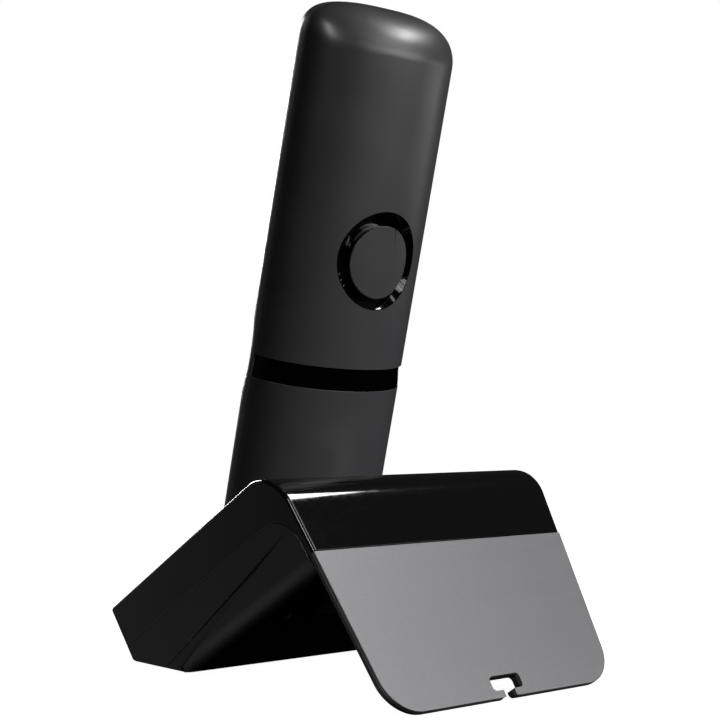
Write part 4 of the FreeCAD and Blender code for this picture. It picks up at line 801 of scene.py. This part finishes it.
def leg_plate(inset, low, thickness, top=0.0, roll=0.0, upper=False):
    """Tapering plate with two rounded lower corners, in the leg's frame."""
    shape = bmesh.new()
    foot = leg_length - inset
    outline = [(-leg_half_width(top) + inset, top), (leg_half_width(top) - inset, top),
               (leg_half_width(foot) - inset, foot), (-leg_half_width(foot) + inset, foot)]
    verts = [shape.verts.new((x, y, low)) for x, y in outline]
    bmesh.ops.contextual_create(shape, geom=verts)
    lower = [vert for vert in shape.verts if vert.co.y > leg_length / 2]
    round_off(shape, lower, LEG_CORNER - inset, 16, "VERTICES")
    raise_faces(shape, shape.faces[:], (0, 0, thickness))
    if roll:
        level = low + thickness if upper else low
        flat = [edge for edge in shape.edges if all(abs(vert.co.z - level) < NEAR for vert in edge.verts)]
        rim = [edge for edge in flat if any(vert.co.y > 1 for vert in edge.verts)]
        round_off(shape, rim, roll, 6)
    return shape


def round_mouth(target):
    """Round the two corners where the neck of the slot opens at the end of the leg."""
    shape = bmesh.new()
    shape.from_mesh(target.data)
    bmesh.ops.transform(shape, matrix=LEG_FACE.inverted(), verts=shape.verts)
    corners = [edge for edge in shape.edges
               if all(abs(abs(vert.co.x) - NECK_WIDTH / 2) < 0.1 and abs(vert.co.y - leg_length) < 0.2
                      for vert in edge.verts)]
    round_off(shape, corners, MOUTH_CORNER, 8)
    bmesh.ops.transform(shape, matrix=LEG_FACE, verts=shape.verts)
    shape.to_mesh(target.data)
    shape.free()


def slot_cutters(gap):
    """Window and neck of the cable slot, a little wider by a gap."""
    middle = leg_length - SLOT_LIFT - SLOT_HEIGHT / 2
    window = plate(SLOT_WIDTH + 2 * gap, SLOT_HEIGHT + 2 * gap, SLOT_CUT, 1.1, -SLOT_CUT / 2, (0, middle), 8)
    neck = plate(NECK_WIDTH + 2 * gap, SLOT_LIFT + SLOT_HEIGHT, SLOT_CUT, 0, -SLOT_CUT / 2,
                 (0, middle + SLOT_HEIGHT / 2 + 1))
    return [to_object("window", window, LEG_FACE), to_object("neck", neck, LEG_FACE)]


def make_leg():
    shape = leg_plate(0, -LEG_THICKNESS, LEG_THICKNESS - PANEL_THICKNESS + 0.02, 0, LEG_ROLL)
    core = to_object("rear_leg_core", shape, LEG_FACE)
    carve(core, slot_cutters(0))
    round_mouth(core)
    soften(core, 0.15, 2, 40, False)
    # The paler satin paints on the light that the floor would throw onto the leg's edges.
    finish_piece(core, leg_satin_painted_floor_light, "base", ["rear_leg"], 40)


def make_panel():
    shape = leg_plate(0.05, -PANEL_THICKNESS, PANEL_THICKNESS, 0.12, 0.22, True)
    face = to_object("leg_silver_face", shape, LEG_FACE)
    carve(face, slot_cutters(0.02))
    round_mouth(face)
    soften(face, 0.05, 2, 40, False)
    finish_piece(face, silver, "base", ["leg_panel"], 40)


make_leg()
make_panel()

# %% [markdown]
# ## Handset shells
# The skin is copied once for each shell and parted at the seam and at the waist. A smaller skin, the
# room inside the walls, is then taken out of it. Parting one skin keeps the shells flush, as if the
# lacquered halves came from one mould.

# %% shells of the handset


def solid_of(name, mesh, drop=0.0):
    """A closed skin as an object, to cut with, moved towards the front by a drop."""
    target = show(name, mesh.copy())
    target.data.transform(HANDSET @ Matrix.Translation((0, -drop, 0)))
    return target


def part_of_skin(name, planes):
    """The solid inside the skin and inside some planes, with the handset's room taken out."""
    shape = bmesh.new()
    shape.from_mesh(skin_mesh)
    for point, normal in planes:
        trim(shape, point, normal)
    return carve(to_object(name, shape, HANDSET), [solid_of("room", room_mesh)])


def above(height):
    """Plane that keeps what lies above a height."""
    return (0, 0, height), (0, 0, -1)


def below(height):
    """Plane that keeps what lies below a height."""
    return (0, 0, height), (0, 0, 1)


def behind_seam(gap=0.0):
    """Plane that keeps what lies behind the seam, and a gap further."""
    return (0, gap, 0), (0, -1, 0)


SPEAKER_HEIGHT = 91.3
RING_RADIUS = 13.0
RING_FLOOR_RADIUS = 10.1
RING_LIP = 0.25
RING_DEPTH = 3.4
LID_HEIGHT = 6
CAP_RADIUS = 9.6
CAP_DROP = 0.35
CAP_PLATE = 0.6
PAD_ASIDE = 8.0
PAD_BACK = 6.0
BACKWARDS = HANDSET @ Matrix.Rotation(math.radians(-90), 4, "X")


def speaker_well(radius):
    """Straight round solid through the back where the loudspeaker sits; local Y is down the handset."""
    return disc(radius, RING_DEPTH + 4, BACK - RING_DEPTH - 1, (0, -SPEAKER_HEIGHT), 96)


def make_back_shell():
    shell = part_of_skin("handset_back_shell_skin", [behind_seam(), above(WAIST_TOP)])
    carve(shell, [to_object("well", speaker_well(RING_RADIUS + 0.02), BACKWARDS)])
    soften(shell, 0.22, 3, 40)
    finish_piece(shell, silky_grey, "handset", ["handset_back_shell"], 40)


def make_cover():
    planes = [behind_seam(0.05), above(1.75), below(WAIST_LOW - 0.1)]
    cover = part_of_skin("battery_cover_skin", planes)
    soften(cover, 0.25, 3, 40)
    finish_piece(cover, silky_grey, "handset", ["battery_cover"], 40)


def make_bottom():
    """Bottom of the back shell, which holds the two charging pads."""
    shape = bmesh.new()
    shape.from_mesh(skin_mesh)
    trim(shape, *behind_seam())
    trim(shape, *below(SHELL_WALL))
    bottom = to_object("handset_bottom", shape, HANDSET)
    pads = [plate(5.1, 5.1, 3, 0.3, -2, (side * PAD_ASIDE, PAD_BACK)) for side in (-1, 1)]
    carve(bottom, [to_object("pad_well", pad, HANDSET) for pad in pads])
    soften(bottom, 0.15, 2, 40)
    finish_piece(bottom, silky_grey, "handset", (), 40)


make_back_shell()
make_cover()
make_bottom()

# %% [markdown]
# ## Waist band
# A gloss strip runs round the back between the shell and the battery cover. It lies deepest under
# the shell's lip and rises to meet the cover, which gives a finger something to pull the cover down
# with. It is the skin's back section, extruded through a few stations and scaled to a rising inset.

# %% waist band
BAND_INSETS = [(WAIST_LOW - 0.08, 0.12), (57.6, 0.2), (58.9, 0.36), (60.2, 0.54), (61.3, 0.64),
               (WAIST_TOP + 0.3, 0.66)]
BAND_WALL = 1.1


def make_band():
    shape = bmesh.new()
    bmesh.ops.create_circle(shape, segments=160, radius=1)
    keep_back(shape)
    loop = shape.edges[:]
    size = (1.0, 1.0)
    below_height = 0.0
    for number, (height, inset) in enumerate(BAND_INSETS):
        if number:
            loop = next_ring(shape, loop)
        ring = verts_of(loop)
        target = (HALF_WIDTH - inset, BACK - inset)
        bmesh.ops.scale(shape, vec=(target[0] / size[0], target[1] / size[1], 1), verts=ring)
        bmesh.ops.translate(shape, vec=(0, 0, height - below_height), verts=ring)
        size = target
        below_height = height
    bmesh.ops.recalc_face_normals(shape, faces=shape.faces)
    if sum(face.normal.y for face in shape.faces) < 0:
        bmesh.ops.reverse_faces(shape, faces=shape.faces[:])
    bmesh.ops.transform(shape, matrix=HANDSET, verts=shape.verts)
    band = show("waist_band_gloss", to_mesh("waist_band_gloss", shape))
    wall = band.modifiers.new("wall", "SOLIDIFY")
    wall.thickness = BAND_WALL * MM
    wall.offset = -1
    settle(band)
    finish_piece(band, jet_black, "handset", ["waist_band"], 40)


make_band()

# %% [markdown]
# ## Loudspeaker ring and cap
# The loudspeaker sits behind a gloss conical ring with a round cap in the middle. Cap and ring
# follow the curve of the back, so both are cut from solids with the skin itself: what lies inside
# the skin is kept. The cap is a thin grey plate on a black neck, so a dark line runs round it.

# %% loudspeaker ring and cap


def ring_dish():
    """Dish whose floor is a flat circle and whose rim follows the curve of the back."""
    shape = bmesh.new()
    bmesh.ops.create_circle(shape, cap_ends=True, segments=96, radius=RING_FLOOR_RADIUS)
    bmesh.ops.translate(shape, vec=(0, 0, BACK - RING_DEPTH), verts=shape.verts)
    loop = shape.edges[:]
    for share, lid in ((1.0, False), (1.3, False), (1.3, True)):
        loop = next_ring(shape, loop)
        for vert in verts_of(loop):
            reach = RING_FLOOR_RADIUS + share * (RING_RADIUS - RING_LIP - RING_FLOOR_RADIUS)
            flat = vert.co.to_2d().normalized() * reach
            crown = BACK * math.sqrt(1 - (flat.x / HALF_WIDTH) ** 2)
            rise = share * (crown - BACK + RING_DEPTH)
            vert.co = (flat.x, flat.y, BACK + LID_HEIGHT if lid else BACK - RING_DEPTH + rise)
    bmesh.ops.contextual_create(shape, geom=loop)
    bmesh.ops.translate(shape, vec=(0, -SPEAKER_HEIGHT, 0), verts=shape.verts)
    return shape


def make_ring():
    ring = to_object("speaker_ring_gloss", speaker_well(RING_RADIUS), BACKWARDS)
    carve(ring, [solid_of("skin", skin_mesh)], "INTERSECT")
    carve(ring, [to_object("dish", ring_dish(), BACKWARDS)])
    finish_piece(ring, jet_black, "handset", ["speaker_ring"], 35)


def cap_disc(name, radius, drop):
    """Round solid under the skin, or under the skin moved inwards."""
    shape = disc(radius, 12, BACK - RING_DEPTH - 0.02, (0, CAP_DROP - SPEAKER_HEIGHT), 96)
    return carve(to_object(name, shape, BACKWARDS), [solid_of("skin", skin_mesh, drop)], "INTERSECT")


def make_cap():
    below_plate = solid_of("skin", skin_mesh, CAP_PLATE)
    cap = carve(cap_disc("speaker_cap_disc", CAP_RADIUS, 0), [below_plate])
    soften(cap, 0.12, 3, 40, False)
    neck = cap_disc("speaker_cap_neck", CAP_RADIUS - 0.2, CAP_PLATE)
    finish_piece(neck, jet_black, "handset", (), 40)
    finish_piece(cap, silky_grey, "handset", ["speaker_cap"], 40)


make_ring()
make_cap()

# %% [markdown]
# ## Front shell
# The front is the same skin ahead of the seam. The key holes, the display recess, the earpiece slot
# and the microphone hole are cut straight through it along the front's own Z.

# %% front shell and its holes
KEY_WIDTH = 11.0
KEY_HEIGHT = 7.4
KEY_COLUMN = 12.6
KEY_ROW = 10.0
FIRST_ROW = 17.0
KEY_GAP = 0.25
CALL_ROW = 79.5
CALL_COLUMN = 14.5
SOFT_ROW = 90.5
WINDOW_WIDTH = 38.0
WINDOW_HEIGHT = 44.0
WINDOW_LOW = 97.5
WINDOW_THICKNESS = 0.9
WINDOW_CORNER = 4.0
WINDOW_LEDGE = 2.0
window_middle = WINDOW_LOW + WINDOW_HEIGHT / 2
EARPIECE = 149.0
MICROPHONE = 8.5

KEY_NAMES = ["key_star", "key_0", "key_hash", "key_7", "key_8", "key_9", "key_4", "key_5", "key_6",
             "key_1", "key_2", "key_3"]


def key_table():
    """Name, middle, size and corner of every key on the front."""
    keys = []
    for number, name in enumerate(KEY_NAMES):
        middle = ((number % 3 - 1) * KEY_COLUMN, FIRST_ROW + number // 3 * KEY_ROW)
        keys.append((name, middle, (KEY_WIDTH, KEY_HEIGHT), 2.4))
    for side, call, soft in ((-1, "key_talk", "key_soft_left"), (1, "key_end", "key_soft_right")):
        keys.append((call, (side * CALL_COLUMN, CALL_ROW), (8.4, 10.5), 3.4))
        keys.append((soft, (side * CALL_COLUMN, SOFT_ROW), (8.4, 5.0), 1.9))
    keys.append(("nav_rocker", (0, CALL_ROW), (13.0, 12.0), 4.8))
    return keys


def make_front_shell():
    shell = part_of_skin("handset_front_shell_skin", [((0, -0.03, 0), (0, 1, 0))])
    cutters = []
    for name, middle, extent, corner in key_table():
        width, height = (part + 2 * KEY_GAP for part in extent)
        hole = plate(width, height, 8, corner + KEY_GAP, 1, middle, 8)
        cutters.append(to_object(name + "_hole", hole, HANDSET_FRONT))
    recess = plate(WINDOW_WIDTH + 0.2, WINDOW_HEIGHT + 0.2, 4, WINDOW_CORNER + 0.1,
                   FRONT - WINDOW_THICKNESS, (0, window_middle))
    opening = plate(WINDOW_WIDTH - 2 * WINDOW_LEDGE, WINDOW_HEIGHT - 2 * WINDOW_LEDGE, 8, 2, 1,
                    (0, window_middle))
    slot = plate(12, 1.8, 8, 0.89, 1, (0, EARPIECE), 8)
    mouth = disc(0.7, 8, 1, (0, MICROPHONE), 24)
    for name, shape in (("recess", recess), ("opening", opening), ("slot", slot), ("mouth", mouth)):
        cutters.append(to_object(name, shape, HANDSET_FRONT))
    carve(shell, cutters)
    soften(shell, 0.2, 2, 40)
    # The lighter front lacquer paints on the light along the handset's side.
    finish_piece(shell, front_grey_painted_light, "handset", ["handset_front_shell"], 40)


make_front_shell()

# %% [markdown]
# ## Keys
# Each key is a small crowned block with a soft edge, on its own body so that it can be pressed. The
# figures are printed, so they are thin flat shapes that lie on the key and ride with it.

# %% keys with their print
KEY_PROUD = 0.7
KEY_BACK = 3.5
KEY_EDGE = 0.5
FIGURE_SIZE = 4.2
FIGURES = {"key_star": "*", "key_hash": "#"}


def round_top(shape, low):
    """Round the upper edge of a key whose top lies above a height."""
    top = [face for face in shape.faces if face.calc_center_median().z > low and abs(face.normal.z) > 0.9]
    round_off(shape, list(dict.fromkeys(edge for face in top for edge in face.edges)), KEY_EDGE, 4)


def make_key(name, middle, extent, corner):
    height = FRONT + KEY_PROUD - KEY_BACK - 0.12
    shape = plate(extent[0], extent[1], height, corner, KEY_BACK, middle, 8)
    round_top(shape, KEY_BACK + 1)
    crown = max(shape.faces, key=lambda face: face.calc_center_median().z)
    for step, rise in ((0.8, 0.07), (1.0, 0.05)):
        bmesh.ops.inset_region(shape, faces=[crown], thickness=step, use_even_offset=True)
        bmesh.ops.translate(shape, vec=(0, 0, rise), verts=crown.verts[:])
    key = to_object(name + "_cap", shape, HANDSET_FRONT)
    finish_piece(key, key_satin, name, [name], 50)


def print_figure(key, text, middle):
    """Thin printed figure on a key."""
    curve = bpy.data.curves.new(key + "_figure", "FONT")
    curve.body = text
    curve.size = FIGURE_SIZE
    curve.align_x = "CENTER"
    curve.align_y = "CENTER"
    curve.extrude = 0.015
    outline = show(key + "_curve", curve)
    bpy.context.view_layer.update()
    solved = outline.evaluated_get(bpy.context.evaluated_depsgraph_get())
    mesh = bpy.data.meshes.new_from_object(solved)
    bpy.data.objects.remove(outline)
    mesh.transform(HANDSET_FRONT @ Matrix.Translation((*middle, FRONT + KEY_PROUD + 0.012)))
    finish_piece(show(key + "_figure", mesh), ink, key, (), 50)


for name, middle, extent, corner in key_table():
    make_key(name, middle, extent, corner)
    if name in KEY_NAMES:
        print_figure(name, FIGURES.get(name, name[-1]), middle)

# %% [markdown]
# ## Marks on the call keys and the rocker
# Talk and end carry a coloured bar, and the rocker two small arrowheads. They are bmesh plates, as
# thin as print.

# %% bars and arrowheads
PRINT = 0.03
ARROW_RADIUS = 1.3
ARROW_OUT = 3.6


def make_bar(name, middle, material, body):
    bar = plate(4.2, 1.3, PRINT, 0.6, FRONT + KEY_PROUD, middle, 6)
    finish_piece(to_object(name, bar, HANDSET_FRONT), material, body, (), 50)


def make_arrow(name, direction):
    shape = bmesh.new()
    bmesh.ops.create_circle(shape, cap_ends=True, segments=3, radius=ARROW_RADIUS)
    bmesh.ops.scale(shape, vec=(1, 0.7, 1), verts=shape.verts)
    if direction < 0:
        bmesh.ops.rotate(shape, matrix=Matrix.Rotation(math.pi, 3, "Z"), verts=shape.verts)
    raise_faces(shape, shape.faces[:], (0, 0, PRINT))
    place = (0, CALL_ROW + direction * ARROW_OUT, FRONT + KEY_PROUD)
    bmesh.ops.translate(shape, vec=place, verts=shape.verts)
    finish_piece(to_object(name, shape, HANDSET_FRONT), ink, "nav_rocker", (), 50)


make_bar("talk_bar", (-CALL_COLUMN, CALL_ROW), green_ink, "key_talk")
make_bar("end_bar", (CALL_COLUMN, CALL_ROW), red_ink, "key_end")
make_bar("soft_bar_left", (-CALL_COLUMN, SOFT_ROW), ink, "key_soft_left")
make_bar("soft_bar_right", (CALL_COLUMN, SOFT_ROW), ink, "key_soft_right")
make_arrow("arrow_up", 1)
make_arrow("arrow_down", -1)

# %% [markdown]
# ## Display
# Behind a smoked window with a black printed border lies the unlit display. The border is the window
# plate with an opening, and the pane in the opening is a little lower, so its edge catches the light.

# %% display window and pane
PANE_WIDTH = 30
PANE_HEIGHT = 34
PANE_SINK = 0.06


def make_window():
    low = FRONT - WINDOW_THICKNESS
    middle = (0, window_middle - 1)
    sheet = plate(WINDOW_WIDTH, WINDOW_HEIGHT, WINDOW_THICKNESS, WINDOW_CORNER, low, (0, window_middle))
    border = to_object("display_window_border", sheet, HANDSET_FRONT)
    hole = plate(PANE_WIDTH, PANE_HEIGHT, 4, 1, low - 1, middle)
    carve(border, [to_object("pane_hole", hole, HANDSET_FRONT)])
    soften(border, 0.12, 2, 40)
    finish_piece(border, acrylic, "handset", ["display_window"], 40)
    glass = plate(PANE_WIDTH, PANE_HEIGHT, WINDOW_THICKNESS - PANE_SINK, 1, low, middle)
    finish_piece(to_object("display_pane", glass, HANDSET_FRONT), lcd, "handset", (), 40)


make_window()

# %% [markdown]
# ## Pocket liner, page key and light
# The handset stands in a liner whose rim lies flush in the top face. It is the handset's section,
# grown by its clearance and wall, hollowed by the same section, and trimmed along the top face.

# %% pocket liner, page key and light
POCKET_GAP = 0.5
SEAT_GAP = 0.05


def make_cup():
    cup = to_object("pocket_liner", section_prism(CUP_GROW, -CUP_FLOOR - SEAT_GAP, 70), HANDSET)
    all_above = plate(160, 200, 80, 0, 0, (0, 60))
    room = section_prism(POCKET_GAP, -SEAT_GAP, 80)
    bores = [disc(1.26, 8, -6, (side * PAD_ASIDE, PAD_BACK), 32) for side in (-1, 1)]
    carve(cup, [to_object("all_above", all_above, TOP_FACE)]
          + [to_object("cup_room", cut, HANDSET) for cut in [room] + bores])
    soften(cup, 0.25, 3, 40)
    finish_piece(cup, satin_black, "base", ["cradle_cup"], 40)


def make_page_key():
    shape = plate(PAGE_WIDTH, PAGE_LENGTH, BASE_WALL + 1.6, 2.98, -BASE_WALL - 1, (0, PAGE_UP), 16)
    round_top(shape, 0.5)
    key = to_object("page_key_cap", shape, TOP_FACE)
    finish_piece(key, key_satin, "page_key", ["page_key"], 50)


def make_light():
    shape = disc(LIGHT_RADIUS, BASE_WALL + 3, -BASE_WALL - 3, (LIGHT_OFFSET, PAGE_UP), 40)
    lens = to_object("charge_light_lens", shape, TOP_FACE)
    soften(lens, 0.3, 4, 40)
    finish_piece(lens, lens_red, "base", ["charge_light"], 40)


make_cup()
make_page_key()
make_light()

# %% [markdown]
# ## Feet and screws
# Small turned parts come from discs. A foot is a rubber puck with a soft edge, and a screw has a pan
# head with a cross recess, which is cut by two crossed bars.

# %% feet and screws
SCREW_RADIUS = 2.6
SCREW_HEAD = 1.1
CROSS = (3.2, 0.7)
CROSS_DEPTH = 0.7


def make_foot(name, side, stands_for=()):
    spot = (side * FOOT_ASIDE, -HALF_DEPTH + FOOT_BACK)
    foot = to_object(name, disc(FOOT_RADIUS, SOLE + 1, 0, spot, 64), UPRIGHT)
    soften(foot, 0.3, 3, 40)
    finish_piece(foot, rubber, "base", stands_for, 40)


def make_screw(name, across, back, seat_height, stands_for=()):
    spot = (across, -HALF_DEPTH + back)
    screw = to_object(name, disc(SCREW_RADIUS, SCREW_HEAD, seat_height - SCREW_HEAD, spot, 48), UPRIGHT)
    low = seat_height - SCREW_HEAD - CROSS_DEPTH
    bars = [plate(*extent, 2 * CROSS_DEPTH, 0, low, spot) for extent in (CROSS, CROSS[::-1])]
    carve(screw, [to_object("bar", bar, UPRIGHT) for bar in bars])
    soften(screw, 0.18, 2, 40)
    finish_piece(screw, zinc, "base", stands_for, 40)


make_foot("foot_left", -1, ["rubber_feet"])
make_foot("foot_right", 1)
screws_for = ["base_screws"]
for side, hand in ((-1, "left"), (1, "right")):
    for number, (across, back, seat_height) in enumerate(SCREWS):
        make_screw(f"screw_{number}_{hand}", side * across, back, seat_height, screws_for)
        screws_for = ()

# %% [markdown]
# ## Finishes of the CAD nodes that stay
# The inner and hidden parts have the right shape already, so they keep their CAD meshes and only
# take a finish. Assigning a material to a slot doesn't change the mesh.

# %% finishes of the other nodes
FINISHES = {
    "rubber_black": rubber, "circuit_board": board_green, "steel": zinc, "gold_contact": gold,
    "component_black": socket_black, "socket_plastic": socket_black, "cell_wrap": sleeve,
    "lcd_glass": lcd, "light_pipe": lens_red, "key_plastic": key_satin, "satin_black": satin_black,
    "gloss_black": gloss_black, "soft_touch_black": silky_grey, "silver_satin": silver,
    "window_acrylic": acrylic,
}
slot_of = {part["node"]: part["material_slot"] for part in frame["record"]["subparts"]}
for name, target in frame["nodes"].items():
    finish = FINISHES[slot_of[name]]
    for material_slot in target.material_slots:
        material_slot.material = finish
print(f"{len(slot_of)} nodes have a finish")

# %% [markdown]
# ## Floor and light
# The phone stands on a pale sheet. Gloss black shows the room rather than its own colour, so the
# room is designed. Three large soft boxes stand behind the phone, right of the camera, and a weak
# fourth lies low beside them. Four more lamps show in reflections only, and each draws one thin line
# or one highlight. The room itself is dim and black below, with a faint glow low on the left, for
# the roll under the flank, and one in front of the phone, for the strip along the handset's side.

# %% floor, lamps and surroundings
FLOOR_REACH = 3
FLOOR_DROP = 0.0002
AIM = Vector((0, 0, 0.08))
WHITE = linear("#ffffff")
LOW_GLOW = (0.56, -0.52, -0.6)


def make_floor():
    """Pale sheet that lights nothing and shows in no reflection."""
    shape = bmesh.new()
    bmesh.ops.create_grid(shape, x_segments=1, y_segments=1, size=FLOOR_REACH)
    floor = show("floor", to_mesh("floor", shape))
    floor.location.z = -FLOOR_DROP
    material, tree, shader, place = start_material("pale_paper", "#e6e6e6", 0.9)
    shader.inputs["Emission Color"].default_value = WHITE
    shader.inputs["Emission Strength"].default_value = 0.98
    floor.data.materials.append(material)
    floor.visible_glossy = False
    floor.visible_diffuse = False


def add_lamp(name, turn, rise, distance, extent, power, roll=0.0, gloss_only=False):
    """Area lamp that faces the phone from a compass turn and a rise, both in degrees."""
    turn = math.radians(turn)
    rise = math.radians(rise)
    out = Vector((math.cos(rise) * math.cos(turn), math.cos(rise) * math.sin(turn), math.sin(rise)))
    data = bpy.data.lights.new(name, "AREA")
    data.shape = "RECTANGLE"
    data.size, data.size_y = extent
    data.energy = power
    lamp = show(name, data)
    lamp.visible_camera = False
    lamp.visible_diffuse = not gloss_only
    lamp.location = AIM + out * distance
    lamp.rotation_euler = (-out).to_track_quat("-Z", "Y").to_euler()
    lamp.rotation_euler.rotate_axis("Z", math.radians(roll))


def glow(tree, toward, heading, low, high, strength):
    """Soft round glow round a heading: cosines where it starts and where it is full."""
    spread = add_node(tree, "ShaderNodeVectorMath", [(toward, "Vector")], operation="DOT_PRODUCT")
    spread.inputs[1].default_value = Vector(heading).normalized()
    settings = {"From Min": low, "From Max": high, "To Min": 0, "To Max": strength}
    rise = add_node(tree, "ShaderNodeMapRange", [(spread.outputs["Value"], "Value")], settings,
                    interpolation_type="SMOOTHSTEP")
    return rise.outputs["Result"]


def make_surroundings():
    """White to look at; for light and reflections a dim room with a low glow and one in front."""
    world = bpy.data.worlds.new("studio")
    bpy.context.scene.world = world
    world.use_nodes = True
    tree = world.node_tree
    tree.nodes.clear()
    toward = add_node(tree, "ShaderNodeTexCoord").outputs["Generated"]
    total = glow(tree, toward, (0, 0, 1), -0.05, 0.3, 0.02)
    for part in (glow(tree, toward, LOW_GLOW, 0.55, 0.98, 0.05),
                 glow(tree, toward, LOW_GLOW, 0.9, 0.99, 0.33),
                 glow(tree, toward, (0.17, -0.98, 0), 0.8, 0.98, 0.12)):
        total = add_node(tree, "ShaderNodeMath", [(total, 0), (part, 1)], operation="ADD").outputs["Value"]
    room = add_node(tree, "ShaderNodeBackground", [(total, "Strength")], {"Color": WHITE})
    seen = add_node(tree, "ShaderNodeBackground", (), {"Color": WHITE, "Strength": 1.0})
    camera_ray = add_node(tree, "ShaderNodeLightPath").outputs["Is Camera Ray"]
    mix = add_node(tree, "ShaderNodeMixShader", [(camera_ray, "Fac")])
    tree.links.new(room.outputs["Background"], mix.inputs[1])
    tree.links.new(seen.outputs["Background"], mix.inputs[2])
    add_node(tree, "ShaderNodeOutputWorld", [(mix.outputs["Shader"], "Surface")])


make_floor()
make_surroundings()
# Soft boxes that light everything.
add_lamp("key_right", 120, 14, 0.9, (0.45, 0.4), 2.8)
add_lamp("key_rear", 95, 14, 0.9, (0.45, 0.4), 1.9)
add_lamp("box_high", 118, 40, 0.9, (0.5, 0.35), 1.8)
# Lamps for one reflection each: the band's left edge, the bend, the top shell's rim and the dome.
add_lamp("edge_left", 30, 33, 1.0, (0.1, 0.5), 3.2, gloss_only=True)
add_lamp("streak_behind", 232, 20, 1.0, (0.14, 0.03), 0.3, gloss_only=True)
add_lamp("rim_front", 266, 22, 1.0, (0.16, 0.7), 8, -45, True)
add_lamp("dome_top", 160, 53, 1.0, (0.42, 0.1), 2.8, gloss_only=True)
# A weak box close to the floor.
add_lamp("low_right", 160, 5, 0.9, (0.45, 0.2), 0.45)
print("floor, eight lamps and the surroundings made")
